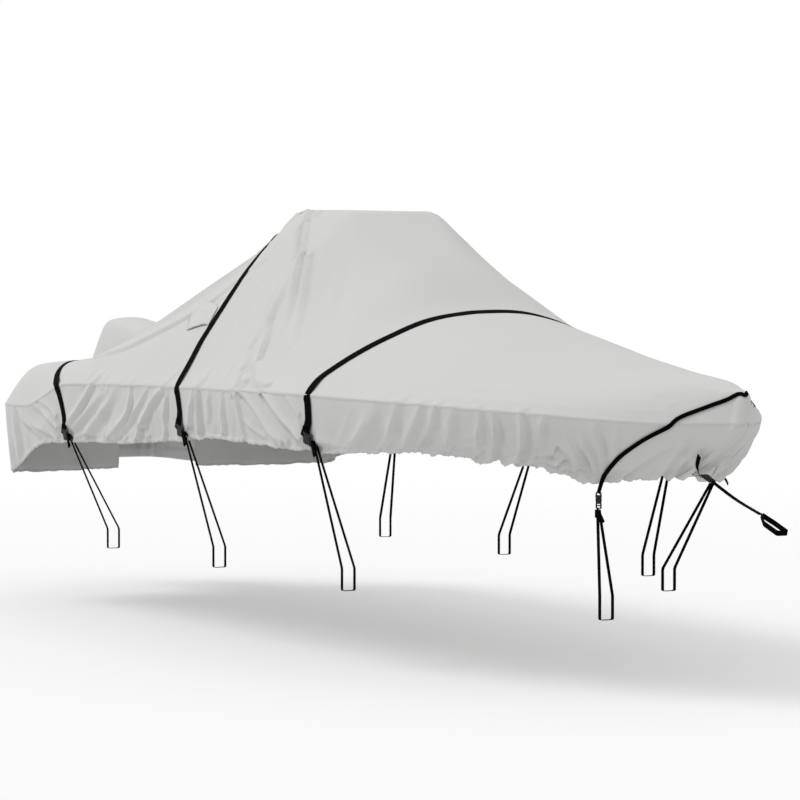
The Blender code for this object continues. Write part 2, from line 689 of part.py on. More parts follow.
def make_vent():
    """The vent hood on the starboard slope, on the cloth along its top and ends, its mouth open below."""
    shape = bmesh.new()
    across, up = VENT_CELLS
    rows = []
    for level in range(up + 1):
        row = []
        rise = level / up
        for step in range(across + 1):
            share = step / across
            mouth_x, mouth_girth = along(VENT_MOUTH, share)
            top_x, top_girth = along(VENT_TOP, share)
            x = mouth_x * (1 - rise) + top_x * rise
            girth = -(mouth_girth * (1 - rise) + top_girth * rise)
            bulge = VENT_BULGE * (1 - rise ** 2) * math.sin(math.pi * share) ** 0.7
            row.append(shape.verts.new(cover_point(x, girth) + cover_normal(x, girth) * (0.006 + bulge)))
        rows.append(row)
    for low, high in zip(rows, rows[1:]):
        for step in range(across):
            add_face(shape, [low[step], low[step + 1], high[step + 1], high[step]], 0)
    shape.normal_update()
    shape.verts.index_update()
    add_object("vent_hood", "cloth", panel_mesh("vent_hood", shape, 0, CLOTH))
    shape.free()


def main():
    clear_scene()
    make_cover()
    make_hood()
    make_vent()
    for number, route in enumerate(STRAP_ROUTES, start=1):
        make_strap(number, route)
    make_bow_strap()


main()
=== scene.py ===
"""Fitted boat cover: the finished look of its cloth, webbing and buckles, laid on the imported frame.

Metres, +X to the bow end, +Y to port, +Z up, as in the frame. The cover's draped face is worked out from
named sizes and two short tables, at a much finer pitch than the frame's solids. Folds, creases and the
gathered hem are heights that stand off that face along its own normals. Each cut panel, band of webbing and
buckle is a piece of its own that stands for the frame's node of the same name. Arrays of places are
(..., 3), and heights and stations are arrays of the same leading shape.
"""
import json
import logging
import math
from dataclasses import dataclass, field
from enum import Enum, IntEnum

import bmesh
import bpy
import numpy as np
from mathutils import Matrix, Vector

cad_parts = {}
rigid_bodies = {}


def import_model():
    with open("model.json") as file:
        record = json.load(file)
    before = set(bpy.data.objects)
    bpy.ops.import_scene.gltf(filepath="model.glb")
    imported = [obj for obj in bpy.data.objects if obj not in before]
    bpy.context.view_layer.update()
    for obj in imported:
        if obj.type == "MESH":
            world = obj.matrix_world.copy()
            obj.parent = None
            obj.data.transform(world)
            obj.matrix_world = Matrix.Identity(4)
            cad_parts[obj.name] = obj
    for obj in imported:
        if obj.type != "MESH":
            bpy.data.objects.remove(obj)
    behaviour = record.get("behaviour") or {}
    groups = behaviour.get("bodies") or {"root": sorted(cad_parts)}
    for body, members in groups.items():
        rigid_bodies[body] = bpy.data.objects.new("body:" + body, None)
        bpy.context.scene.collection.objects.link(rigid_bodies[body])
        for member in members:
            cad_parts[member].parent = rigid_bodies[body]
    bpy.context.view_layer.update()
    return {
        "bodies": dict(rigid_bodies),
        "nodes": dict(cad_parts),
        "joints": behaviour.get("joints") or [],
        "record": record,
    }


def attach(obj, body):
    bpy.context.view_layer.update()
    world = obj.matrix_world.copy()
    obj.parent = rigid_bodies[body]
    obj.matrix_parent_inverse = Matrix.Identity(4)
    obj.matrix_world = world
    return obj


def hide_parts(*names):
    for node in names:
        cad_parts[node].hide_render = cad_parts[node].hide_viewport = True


log = logging.getLogger("boat_cover")
BODY = "root"
UV_NAME = "metres"
# The point value from fold height that the cloth's colour reads: painted highlight on fold crests, painted
# shade in fold hollows.
FOLD_SHADE_NAME = "crest"
DOWN = np.array([0.0, 0.0, -1.0])
WHITE = (1.0, 1.0, 1.0, 1.0)
Colour = tuple[float, float, float, float]
Place = tuple[float, float, float]


class Side(Enum):
    """The two halves of the cover, by the sign of Y."""

    STARBOARD = -1
    PORT = 1


class Slot(Enum):
    """The record's material slots."""

    CLOTH = "cloth"
    WEBBING = "webbing"
    PLASTIC = "buckle_plastic"


class Seed(IntEnum):
    """The seed of each row of noise."""

    PORT_SHIFT = 5
    WANDER = 11
    UNEVEN = 23
    SLACK = 31
    PULLED = 32
    EDGE = 41
    LIVELY = 51
    LARGE = 52
    SMALL = 53
    CRUMPLE = 54
    GATHER = 55
    ROLL = 56
    HEM_WIDE = 61
    HEM_FINE = 62
    HOOD_FOLDS = 71
    HOOD_BROAD = 72
    HOOD_SLACK = 73
    VENT = 81


def sided(kind: str, number: int, side: Side) -> str:
    """The name of a strap's fitting on one side."""
    return f"{kind}_{number + 1}_{side.name.lower()}"


# ---- Numbers that repeat: soft steps, seeded noise and distances ----


def soft_step(low: float, high: float, value: np.ndarray) -> np.ndarray:
    """A smooth rise from 0 at low to 1 at high."""
    share = np.clip((value - low) / (high - low), 0.0, 1.0)
    return share * share * (3.0 - 2.0 * share)


def lattice(column: np.ndarray, row: np.ndarray, seed: int) -> np.ndarray:
    """A fixed value from 0 to 1 for each cell of an endless grid."""
    value = np.sin(column * 127.1 + row * 311.7 + seed * 74.7) * 43758.5453
    return value - np.floor(value)


def soft_noise(across: np.ndarray, along: np.ndarray, seed: int) -> np.ndarray:
    """Smooth noise from 0 to 1, with one value a unit."""
    across, along = np.broadcast_arrays(np.asarray(across, float), np.asarray(along, float))
    column, row = np.floor(across), np.floor(along)
    u, v = across - column, along - row
    u = u * u * (3.0 - 2.0 * u)
    v = v * v * (3.0 - 2.0 * v)
    low = lattice(column, row, seed) * (1 - u) + lattice(column + 1, row, seed) * u
    high = lattice(column, row + 1, seed) * (1 - u) + lattice(column + 1, row + 1, seed) * u
    return low * (1 - v) + high * v


def crests(across: np.ndarray, along: np.ndarray, seed: int) -> np.ndarray:
    """Noise with sharp crests at 1 and broad hollows at 0, as pulled cloth has."""
    return 1.0 - np.abs(2.0 * soft_noise(across, along, seed) - 1.0)


def unit(vectors: np.ndarray) -> np.ndarray:
    """The vectors at length 1."""
    return vectors / np.maximum(np.linalg.norm(vectors, axis=-1, keepdims=True), 1e-12)


def distance_to(points: np.ndarray, line: np.ndarray) -> np.ndarray:
    """How far each point is from the nearest point of a closely spaced line."""
    best = np.full(len(points), np.inf)
    for place in line:
        best = np.minimum(best, ((points - place) ** 2).sum(axis=1))
    return np.sqrt(best)


def run_of(points: np.ndarray) -> np.ndarray:
    """The length along a line to each of its points."""
    return np.concatenate([[0.0], np.cumsum(np.linalg.norm(np.diff(points, axis=0), axis=1))])


def along_line(points: np.ndarray, wanted: np.ndarray) -> np.ndarray:
    """The places at the wanted lengths along a line."""
    run = run_of(points)
    return np.stack([np.interp(wanted, run, points[:, axis]) for axis in range(3)], axis=1)


def resampled(points: np.ndarray, step: float) -> np.ndarray:
    """A line's points again, evenly spaced at about one step."""
    length = run_of(points)[-1]
    count = max(2, int(round(length / step)) + 1)
    return along_line(points, np.linspace(0.0, length, count))


def relaxed(rows: np.ndarray, times: int, middle: int = 2) -> np.ndarray:
    """Rows with each inner one drawn towards the mean of its neighbours, so many times."""
    for _ in range(times):
        rows[1:-1] = (rows[:-2] + middle * rows[1:-1] + rows[2:]) / (middle + 2)
    return rows


def relaxed_units(vectors: np.ndarray, times: int) -> np.ndarray:
    """Unit vectors relaxed in the same way, at length 1 after each time."""
    for _ in range(times):
        vectors[1:-1] = unit(vectors[:-2] + 2 * vectors[1:-1] + vectors[2:])
    return vectors


def rounded_route(points: list[np.ndarray], radius: float, steps: int = 5) -> np.ndarray:
    """A route with each inner corner rounded over."""
    made = [points[0]]
    for before, corner, after in zip(points, points[1:], points[2:]):
        back, ahead = before - corner, after - corner
        near = min(radius, 0.45 * np.linalg.norm(back), 0.45 * np.linalg.norm(ahead))
        start = corner + unit(back) * near
        end = corner + unit(ahead) * near
        for share in np.linspace(0.0, 1.0, steps):
            made.append(start * (1 - share) ** 2 + corner * 2 * share * (1 - share) + end * share ** 2)
    made.append(points[-1])
    return np.array(made)


def smooth_route(rows: np.ndarray, count: int) -> np.ndarray:
    """A smooth curve through rows of values, whatever the rows hold."""
    padded = np.concatenate([[2 * rows[0] - rows[1]], rows, [2 * rows[-1] - rows[-2]]])
    made = []
    for first, second, third, fourth in zip(padded, padded[1:], padded[2:], padded[3:]):
        for step in range(count):
            t = step / count
            bend = 2 * first - 5 * second + 4 * third - fourth
            twist = 3 * second - first - 3 * third + fourth
            made.append(0.5 * (2 * second + (third - first) * t + bend * t ** 2 + twist * t ** 3))
    made.append(rows[-1])
    return np.array(made)


# ---- Finishes ----


class Nodes:
    """A node tree with short calls to add its nodes and join them."""

    def __init__(self, tree: bpy.types.NodeTree) -> None:
        """Works on a tree that exists."""
        self.tree = tree

    def set(self, node: bpy.types.Node, inputs: dict) -> bpy.types.Node:
        """Gives a node's inputs their values, or joins them where a value is another node's socket."""
        for key, value in inputs.items():
            if isinstance(value, bpy.types.NodeSocket):
                self.tree.links.new(value, node.inputs[key])
            else:
                node.inputs[key].default_value = value
        return node

    def add(self, kind: str, inputs: dict, **settings: object) -> bpy.types.Node:
        """A new node."""
        node = self.tree.nodes.new(kind)
        for key, value in settings.items():
            setattr(node, key, value)
        return self.set(node, inputs)

    def math(self, operation: str, first: object, second: object) -> bpy.types.NodeSocket:
        """The result of one Math node."""
        return self.add("ShaderNodeMath", {0: first, 1: second}, operation=operation).outputs[0]

    def spread(self, value: object, low: float, high: float) -> bpy.types.NodeSocket:
        """A value from 0 to 1 spread over low to high."""
        return self.add("ShaderNodeMapRange", {"Value": value, "To Min": low, "To Max": high}).outputs[0]

    def blend(self, share: object, first: object, second: object) -> bpy.types.NodeSocket:
        """A mix of two colours by a share."""
        inputs = {0: share, 6: first, 7: second}
        return self.add("ShaderNodeMix", inputs, data_type="RGBA").outputs[2]

    def noise(self, place: object, scale: float, detail: float) -> bpy.types.NodeSocket:
        """A noise texture's value."""
        inputs = {"Vector": place, "Scale": scale, "Detail": detail, "Roughness": 0.55}
        return self.add("ShaderNodeTexNoise", inputs).outputs[0]

    def bands(self, place: object, pitch: float, direction: str) -> bpy.types.NodeSocket:
        """Soft bands with one band a pitch, in metres."""
        inputs = {"Vector": place, "Scale": 2 * math.pi / (20 * pitch), "Distortion": 0.0, "Detail": 0.0}
        settings = {"wave_type": "BANDS", "bands_direction": direction, "wave_profile": "SIN"}
        return self.add("ShaderNodeTexWave", inputs, **settings).outputs[1]

    def bump(self, height: object, depth: float, strength: float,
             under: object = None) -> bpy.types.NodeSocket:
        """A bump's normal, on top of another bump where one is given."""
        inputs = {"Height": height, "Distance": depth, "Strength": strength}
        if under is not None:
            inputs["Normal"] = under
        return self.add("ShaderNodeBump", inputs).outputs[0]


class Recipe(Nodes):
    """A material and its tree."""

    def __init__(self, name: str) -> None:
        """Starts a material with a shader and its output."""
        self.material = bpy.data.materials.new(name)
        self.material.use_nodes = True
        super().__init__(self.material.node_tree)
        self.shader = self.tree.nodes["Principled BSDF"]


@dataclass(frozen=True)
class ClothFinish:
    """Coated woven polyester: a fine plain weave, with painted highlight on the fold crests and painted shade
    in the fold hollows.
    """

    colour: Colour = (0.640, 0.640, 0.622, 1.0)
    # Painted highlight and painted shade: the lighter colour goes on fold crests and the darker one in fold
    # hollows; both also give the cloth its random mottling.
    highlight_and_mottle: Colour = (0.700, 0.700, 0.685, 1.0)
    shade_and_mottle: Colour = (0.545, 0.545, 0.530, 1.0)
    weave_pitch: float = 0.0016
    weave_depth: float = 0.00012
    wrinkle_depth: float = 0.0022
    roughness: float = 0.84

    def build(self) -> bpy.types.Material:
        """The cloth's material."""
        recipe = Recipe("woven_cloth")
        uv = recipe.add("ShaderNodeUVMap", {}, uv_map=UV_NAME).outputs[0]
        place = recipe.add("ShaderNodeTexCoord", {}).outputs["Object"]
        warp = recipe.bands(uv, self.weave_pitch, "X")
        weft = recipe.bands(uv, self.weave_pitch, "Y")
        weave = recipe.math("MULTIPLY", warp, weft)
        cloudy = recipe.noise(place, 1.4, 4.0)
        slub = recipe.noise(place, 38.0, 2.0)
        # Painted shade and highlight: the fold-height value darkens fold hollows and lightens fold crests.
        crest = recipe.add("ShaderNodeAttribute", {}, attribute_name=FOLD_SHADE_NAME).outputs["Fac"]
        tone = recipe.math("ADD", recipe.spread(cloudy, -0.16, 0.16), recipe.spread(slub, -0.05, 0.05))
        tone = recipe.math("ADD", tone, crest)
        ramp = recipe.add("ShaderNodeValToRGB", {"Fac": tone})
        ramp.color_ramp.elements[0].color = self.shade_and_mottle
        ramp.color_ramp.elements[1].color = self.highlight_and_mottle
        middle = ramp.color_ramp.elements.new(0.5)
        middle.color = self.colour
        # The darker colour also goes between the weave's threads, a painted shade in the weave.
        shaded = recipe.blend(recipe.spread(weave, 0.06, 0.0), ramp.outputs[0], self.shade_and_mottle)
        creases = recipe.noise(place, 7.0, 5.0)
        rumple = recipe.bump(creases, self.wrinkle_depth, 0.30)
        woven = recipe.bump(weave, self.weave_depth, 0.5, rumple)
        recipe.set(recipe.shader, {
            "Base Color": shaded,
            "Roughness": recipe.spread(cloudy, self.roughness - 0.05, self.roughness + 0.05),
            "Specular IOR Level": 0.25,
            "Sheen Weight": 0.12,
            "Sheen Roughness": 0.6,
            "Normal": woven,
        })
        return recipe.material


@dataclass(frozen=True)
class WebbingFinish:
    """Black woven webbing: a fine herringbone across it, and a painted sheen: a lighter colour on its raised
    threads.
    """

    colour: Colour = (0.0008, 0.0008, 0.0009, 1.0)
    raised_sheen: Colour = (0.0040, 0.0040, 0.0043, 1.0)
    rib_pitch: float = 0.0030
    rib_depth: float = 0.0004
    roughness: float = 0.78

    def build(self) -> bpy.types.Material:
        """The webbing's material."""
        recipe = Recipe("woven_webbing")
        uv = recipe.add("ShaderNodeUVMap", {}, uv_map=UV_NAME).outputs[0]
        ribs = recipe.bands(uv, self.rib_pitch, "DIAGONAL")
        rows = recipe.bands(uv, self.rib_pitch * 0.8, "Y")
        weave = recipe.math("MULTIPLY", ribs, rows)
        worn = recipe.noise(uv, 24.0, 3.0)
        tone = recipe.math("MULTIPLY", weave, recipe.spread(worn, 0.4, 1.2))
        recipe.set(recipe.shader, {
            # Painted sheen: the raised threads of the weave take the lighter colour.
            "Base Color": recipe.blend(tone, self.colour, self.raised_sheen),
            "Roughness": recipe.spread(worn, self.roughness - 0.08, self.roughness + 0.08),
            "Specular IOR Level": 0.03,
            "Normal": recipe.bump(weave, self.rib_depth, 0.6),
        })
        return recipe.material


@dataclass(frozen=True)
class MouldedFinish:
    """Black moulded plastic with a fine sparked grain."""

    colour: Colour = (0.004, 0.004, 0.0045, 1.0)
    scuffed: Colour = (0.018, 0.018, 0.019, 1.0)
    grain: float = 900.0
    roughness: float = 0.42

    def build(self) -> bpy.types.Material:
        """The plastic's material."""
        recipe = Recipe("moulded_plastic")
        place = recipe.add("ShaderNodeTexCoord", {}).outputs["Object"]
        grain = recipe.noise(place, self.grain, 2.0)
        scuffs = recipe.noise(place, 60.0, 4.0)
        worn = {"Value": scuffs, "From Min": 0.55, "From Max": 0.8}
        share = recipe.add("ShaderNodeMapRange", worn).outputs[0]
        recipe.set(recipe.shader, {
            "Base Color": recipe.blend(share, self.colour, self.scuffed),
            "Roughness": recipe.spread(scuffs, self.roughness - 0.08, self.roughness + 0.10),
            "Specular IOR Level": 0.35,
            "Normal": recipe.bump(grain, 0.0001, 0.35),
        })
        return recipe.material


@dataclass(frozen=True)
class ThreadFinish:
    """Sewing thread: a twisted strand with a low shine."""

    colour: Colour = (0.50, 0.50, 0.485, 1.0)
    light: Colour = (0.62, 0.62, 0.60, 1.0)

    def build(self) -> bpy.types.Material:
        """The thread's material."""
        recipe = Recipe("seam_thread")
        place = recipe.add("ShaderNodeTexCoord", {}).outputs["Object"]
        twist = recipe.noise(place, 700.0, 1.0)
        recipe.set(recipe.shader, {
            "Base Color": recipe.blend(twist, self.colour, self.light),
            "Roughness": 0.6,
            "Normal": recipe.bump(twist, 0.0002, 0.5),
        })
        return recipe.material


@dataclass(frozen=True)
class FloorFinish:
    """A pale studio floor that fades into the white surround with distance."""

    colour: Colour = (0.68, 0.68, 0.68, 1.0)
    bounce: Colour = (0.78, 0.78, 0.78, 1.0)
    glow: float = 0.28
    plain_to: float = 6.0
    gone_at: float = 13.0

    def build(self) -> bpy.types.Material:
        """The floor's material."""
        recipe = Recipe("studio_floor")
        place = recipe.add("ShaderNodeTexCoord", {}).outputs["Object"]
        away = recipe.add("ShaderNodeVectorMath", {0: place}, operation="LENGTH").outputs["Value"]
        inputs = {"Value": away, "From Min": self.plain_to, "From Max": self.gone_at}
        share = recipe.add("ShaderNodeMapRange", inputs, interpolation_type="SMOOTHSTEP").outputs[0]
        cloudy = recipe.noise(place, 2.0, 2.0)
        seen = recipe.add("ShaderNodeLightPath", {}).outputs["Is Camera Ray"]
        recipe.set(recipe.shader, {
            "Base Color": recipe.blend(seen, self.bounce, self.colour),
            "Roughness": recipe.spread(cloudy, 0.85, 0.95),
            "Specular IOR Level": 0.1,
            "Emission Color": WHITE,
            "Emission Strength": recipe.math("MULTIPLY", seen, self.glow),
        })
        clear = recipe.add("ShaderNodeBsdfTransparent", {}).outputs[0]
        inputs = {0: share, 1: recipe.shader.outputs[0], 2: clear}
        mixed = recipe.add("ShaderNodeMixShader", inputs).outputs[0]
        recipe.set(recipe.tree.nodes["Material Output"], {"Surface": mixed})
        return recipe.material


@dataclass
class Finishes:
    """Every material of the cover, built once."""

    cloth: bpy.types.Material = field(default_factory=lambda: ClothFinish().build())
    webbing: bpy.types.Material = field(default_factory=lambda: WebbingFinish().build())
    plastic: bpy.types.Material = field(default_factory=lambda: MouldedFinish().build())
    thread: bpy.types.Material = field(default_factory=lambda: ThreadFinish().build())


# ---- Meshes ----


class PieceMesh:
    """Gathers grids of points into one mesh with a UV map in metres and a crest value at each point, which
    the cloth's colour reads as painted shade and highlight.
    """

    MERGE = 1e-5

    def __init__(self, name: str) -> None:
        """Starts an empty piece."""
        self.name = name
        self.points: list[np.ndarray] = []
        self.uvs: list[np.ndarray] = []
        self.crest: list[np.ndarray] = []
        self.faces: list[np.ndarray] = []
        self.count = 0

    def add_grid(self, points: np.ndarray, uv: np.ndarray, crest: np.ndarray | None = None,
                 keep: np.ndarray | None = None, flip: bool = False) -> None:
        """Adds a grid of quads."""
        rows, columns = points.shape[:2]
        index = np.arange(rows * columns).reshape(rows, columns) + self.count
        corners = [index[:-1, :-1], index[1:, :-1], index[1:, 1:], index[:-1, 1:]]
        if flip:
            corners.reverse()
        quads = np.stack(corners, axis=-1).reshape(-1, 4)
        if keep is not None:
            quads = quads[keep.reshape(-1)]
        self.points.append(points.reshape(-1, 3))
        self.uvs.append(uv.reshape(-1, 2))
        self.crest.append((np.full(points.shape[:2], 0.5) if crest is None else crest).reshape(-1))
        self.faces.append(quads)
        self.count += rows * columns

    def finish(self, material: bpy.types.Material) -> bpy.types.Object:
        """The finished object, its touching grids joined."""
        points = np.concatenate(self.points)
        uv = np.concatenate(self.uvs)
        crest = np.concatenate(self.crest)
        quads = np.concatenate(self.faces)
        used, quads = np.unique(quads, return_inverse=True)
        quads = quads.reshape(-1, 4)
        mesh = bpy.data.meshes.new(self.name)
        mesh.from_pydata(points[used].tolist(), [], quads.tolist())
        layer = mesh.uv_layers.new(name=UV_NAME)
        corner = np.zeros(len(mesh.loops), np.int32)
        mesh.loops.foreach_get("vertex_index", corner)
        layer.data.foreach_set("uv", uv[used][corner].astype(np.float32).ravel())
        attribute = mesh.attributes.new(FOLD_SHADE_NAME, "FLOAT", "POINT")
        attribute.data.foreach_set("value", crest[used].astype(np.float32))
        shape = bmesh.new()
        shape.from_mesh(mesh)
        bmesh.ops.remove_doubles(shape, verts=shape.verts, dist=self.MERGE)
        bmesh.ops.dissolve_degenerate(shape, edges=shape.edges, dist=self.MERGE)
        for face in shape.faces:
            face.smooth = True
        shape.to_mesh(mesh)
        shape.free()
        mesh.materials.append(material)
        return placed(self.name, mesh)


def placed(name: str, data: bpy.types.ID | None) -> bpy.types.Object:
    """A new object in the scene."""
    item = bpy.data.objects.new(name, data)
    bpy.context.scene.collection.objects.link(item)
    return item


def grid_lengths(points: np.ndarray) -> np.ndarray:
    """Flat places of a grid's points, from the lengths along its rows and columns."""
    down = np.linalg.norm(np.diff(points, axis=0), axis=2)
    over = np.linalg.norm(np.diff(points, axis=1), axis=2)
    down = np.concatenate([np.zeros((1, points.shape[1])), np.cumsum(down, axis=0)])
    over = np.concatenate([np.zeros((points.shape[0], 1)), np.cumsum(over, axis=1)], axis=1)
    return np.stack([down, over], axis=-1)


def grid_normals(points: np.ndarray) -> np.ndarray:
    """Unit normals of a grid of points, by its rows' way and then its columns'."""
    return unit(np.cross(np.gradient(points, axis=0), np.gradient(points, axis=1)))


def facing(normals: np.ndarray, outward: np.ndarray) -> np.ndarray:
    """Normals, each turned where it points against its outward direction."""
    return np.where((normals * outward).sum(axis=-1, keepdims=True) < 0, -normals, normals)


def settle(piece: bpy.types.Object, slot: Slot, *nodes: str) -> None:
    """Rides a finished piece on the cover's body and reports it."""
    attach(piece, BODY)
    if nodes:
        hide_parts(*nodes)
    log.info("%s: %d faces", piece.name, len(piece.data.polygons))


@dataclass(frozen=True)
class Cut:
    """How a sheet was cut and how it is held: its node, its flat width and length, its flat area."""

    node: str
    flat: tuple[float, float]
    area: float
    held: str

    def finish(self, made: bpy.types.Object, thickness: float) -> None:
        solid = made.modifiers.new("thickness", "SOLIDIFY")
        solid.thickness = thickness
        solid.offset = -1.0
        solid.use_rim = True
        settle(made, Slot.CLOTH, self.node)


TOP_CUT = Cut("top_panel", (2.95, 6.60), 10.3, "stretched")
AFT_CUT = Cut("aft_panel", (1.75, 2.40), 3.5, "stretched")
SKIRT_CUTS = {side: Cut(f"skirt_{side.name.lower()}", (0.45, 7.20), 2.3, "gathered") for side in Side}
CROWN_CUT = Cut("hood_crown", (0.80, 1.00), 0.55, "draped")
BAND_CUT = Cut("hood_band", (0.62, 1.95), 1.15, "draped")
VENT_CUT = Cut("vent_hood", (0.21, 0.30), 0.055, "stretched")


# ---- The draped shape ----


@dataclass(frozen=True)
class Section:
    """One station: its edge height, its hip's half width, its ridge height and its slopes' fullness."""

    x: float
    edge_z: float
    hip_half: float
    ridge_z: float
    full_starboard: float
    full_port: float


SECTIONS = (
    Section(-2.68, -1.060, 0.68, -1.045, 1.1, 1.1),
    Section(-2.64, -1.060, 0.74, -0.980, 1.15, 1.15),
    Section(-2.55, -1.058, 0.82, -0.890, 1.6, 1.5),
    Section(-2.33, -1.057, 0.86, -0.832, 2.2, 1.6),
    Section(-2.05, -1.055, 0.86, -0.815, 2.2, 1.6),
    Section(-1.83, -0.985, 0.86, -0.805, 2.0, 1.6),
    Section(-1.64, -0.922, 0.84, -0.795, 2.0, 1.6),
    Section(-1.50, -0.914, 0.82, -0.757, 1.8, 1.6),
    Section(-1.12, -0.905, 0.70, -0.598, 1.3, 1.3),
    Section(-0.50, -0.892, 0.37, -0.212, 1.1, 1.1),
    Section(-0.285, -0.890, 0.25, 0.008, 1.05, 1.05),
    Section(0.265, -0.885, 0.25, -0.004, 1.05, 1.0),
    Section(0.59, -0.883, 0.26, -0.146, 1.08, 0.91),
    Section(0.80, -0.882, 0.26, -0.232, 1.1, 0.88),
    Section(1.01, -0.881, 0.26, -0.333, 1.25, 0.93),
    Section(1.28, -0.880, 0.25, -0.490, 1.55, 1.0),
    Section(1.50, -0.885, 0.22, -0.537, 1.65, 1.1),
    Section(2.10, -0.900, 0.15, -0.650, 1.8, 1.35),
    Section(2.67, -0.925, 0.12, -0.735, 1.9, 1.7),
    Section(3.18, -0.955, 0.08, -0.775, 2.0, 2.1),
    Section(3.42, -0.948, 0.03, -0.812, 2.0, 2.3),
    Section(3.475, -0.948, 0.01, -0.814, 2.0, 2.3),
    Section(3.505, -0.948, 0.00, -0.818, 2.0, 2.3),
)


@dataclass(frozen=True)
class Hem:
    """The hem's height below a station of the edge line."""

    x: float
    z: float


HEM = (
    Hem(-2.68, -1.455), Hem(-2.45, -1.440), Hem(-2.25, -1.375), Hem(-2.08, -1.298), Hem(-1.94, -1.258),
    Hem(-1.64, -1.238), Hem(-1.31, -1.224), Hem(-0.91, -1.211), Hem(-0.52, -1.188), Hem(-0.15, -1.166),
    Hem(0.21, -1.135), Hem(0.39, -1.132), Hem(0.89, -1.143), Hem(1.53, -1.153), Hem(2.20, -1.126),
    Hem(2.63, -1.149), Hem(2.93, -1.180), Hem(3.06, -1.222), Hem(3.14, -1.250), Hem(3.22, -1.209),
    Hem(3.505, -1.196),
)


@dataclass(frozen=True)
class CoverShape:
    """The cover's draped outer face, before its folds, by station x and girth.

    Girth is the share of the way round from the middle: 0 on the ridge, 0.5 at the hip, 1 on the edge line
    and 2 at the hem, negative to starboard.
    """

    cloth: float = 0.002
    half_beam: float = 1.05
    aft_x: float = -2.68
    aft_half: float = 0.75
    aft_round: float = 0.34
    bow_start: float = 0.90
    bow_tip: float = 3.505
    bow_curve: float = 0.91
    tip_radius: float = 0.055
    nose_length: float = 0.055
    hem_setback: float = 0.46
    tuck_side: float = 0.05
    tuck_aft: float = 0.08
    tuck_fade: float = 0.30
    lip: float = 0.012
    skirt_bend: float = 1.5
    soft_hip: tuple[float, float] = (0.05, 0.20)
    hip_limit: float = 0.9
    hood_half: float = 0.245
    hood_front: float = -2.33
    aft_panel_front: float = -0.285
    smooth_least: float = 0.05
    smooth_most: float = 0.13
    crisp_places: tuple[float, ...] = (-2.68, -2.60, -0.285, 0.265, 3.44, 3.505)

    def column(self, x: np.ndarray, name: str) -> np.ndarray:
        """A column of SECTIONS at stations x, rounded between the rows but crisp at the peak and the ends."""
        away = np.min([np.abs(x - place) for place in self.crisp_places], axis=0)
        reach = self.smooth_least + (self.smooth_most - self.smooth_least) * soft_step(0.06, 0.40, away)
        stations = [row.x for row in SECTIONS]
        values = [getattr(row, name) for row in SECTIONS]
        total = np.zeros_like(x, dtype=float)
        for step in range(-3, 4):
            total += (4 - abs(step)) * np.interp(x + step * reach / 3, stations, values)
        return total / 16

    def half_width(self, x: np.ndarray) -> np.ndarray:
        """Half the width between the edge lines."""
        share = np.clip((x - self.bow_start) / (self.bow_tip - self.bow_start), 0.0, 1.0)
        half = self.half_beam * (1 - share ** 2) ** self.bow_curve
        centre = self.bow_tip - self.tip_radius
        tip = np.sqrt(np.maximum(self.tip_radius ** 2 - (x - centre) ** 2, 0.0))
        half = np.where(x > centre, tip, half)
        corner = np.clip((self.aft_x + self.aft_round - x) / self.aft_round, 0.0, 1.0)
        return half - (self.half_beam - self.aft_half) * (1 - np.sqrt(1 - corner ** 2))

    def hip(self, x: np.ndarray) -> np.ndarray:
        """Half the width between the hips."""
        return np.minimum(self.column(x, "hip_half"), self.half_width(x) * self.hip_limit)

    def height(self, x: np.ndarray, y: np.ndarray) -> np.ndarray:
        """The top's height at places."""
        half, hip = self.half_width(x), self.hip(x)
        edge, ridge = self.column(x, "edge_z"), self.column(x, "ridge_z")
        nose = np.clip((x - (self.bow_tip - self.nose_length)) / self.nose_length, 0.0, 1.0)
        ridge = edge + (ridge - edge) * np.sqrt(1 - nose ** 2)
        fullness = np.where(y < 0, self.column(x, "full_starboard"), self.column(x, "full_port"))
        rise = (half - np.abs(y)) / np.maximum(half - hip, 1e-6)
        least, more = self.soft_hip
        soft = least + more * np.clip((x - 0.3) / 0.5, 0.0, 1.0)
        eased = np.where(rise > 1 + soft, 1.0, 1 - (1 + soft - rise) ** 2 / (4 * soft))
        rise = np.clip(np.where(rise > 1 - soft, eased, rise), 0.0, 1.0)
        return edge + (ridge - edge) * (1 - (1 - rise) ** fullness)

    def top(self, x: np.ndarray, girth: np.ndarray) -> np.ndarray:
        """Places on the top."""
        half, hip, share = self.half_width(x), self.hip(x), np.abs(girth)
        across = np.where(share < 0.5, hip * share / 0.5, hip + (half - hip) * (share - 0.5) / 0.5)
        y = np.copysign(across, girth)
        return np.stack([x, y, self.height(x, y)], axis=-1)

    def edge(self, x: np.ndarray, side: Side) -> np.ndarray:
        """Places on a side's edge line."""
        return self.top(x, np.full_like(x, float(side.value)))

    def skirt(self, edge: np.ndarray, share: np.ndarray) -> np.ndarray:
        """Places on the skirt below places of the edge line."""
        x, y, z = edge[:, 0], edge[:, 1], edge[:, 2]
        corner = np.clip((self.aft_x + self.aft_round - x) / self.aft_round, 0.0, 1.0)
        beside = np.clip((np.abs(y) - self.hood_half) / self.tuck_fade, 0.0, 1.0)
        tucked = 1.0 - corner * (1.0 - beside)
        length = self.bow_tip - self.bow_start
        drawn = self.bow_start + (x - self.bow_start) * (length - self.hem_setback) / length
        hem_x = np.where(x > self.bow_start, drawn, x + self.tuck_aft * corner * tucked)
        hem_y = y * (1 - self.tuck_side / self.half_beam * tucked)
        hem_z = np.interp(x, [row.x for row in HEM], [row.z for row in HEM])
        bend = np.clip(share, 0.0, 1.0)[None, :] ** self.skirt_bend
        place_x = x[:, None] * (1 - bend) + hem_x[:, None] * bend
        place_y = y[:, None] * (1 - bend) + hem_y[:, None] * bend
        place_z = (z - self.lip)[:, None] + (hem_z - z + self.lip)[:, None] * share[None, :]
        return np.stack([place_x, place_y, place_z], axis=-1)

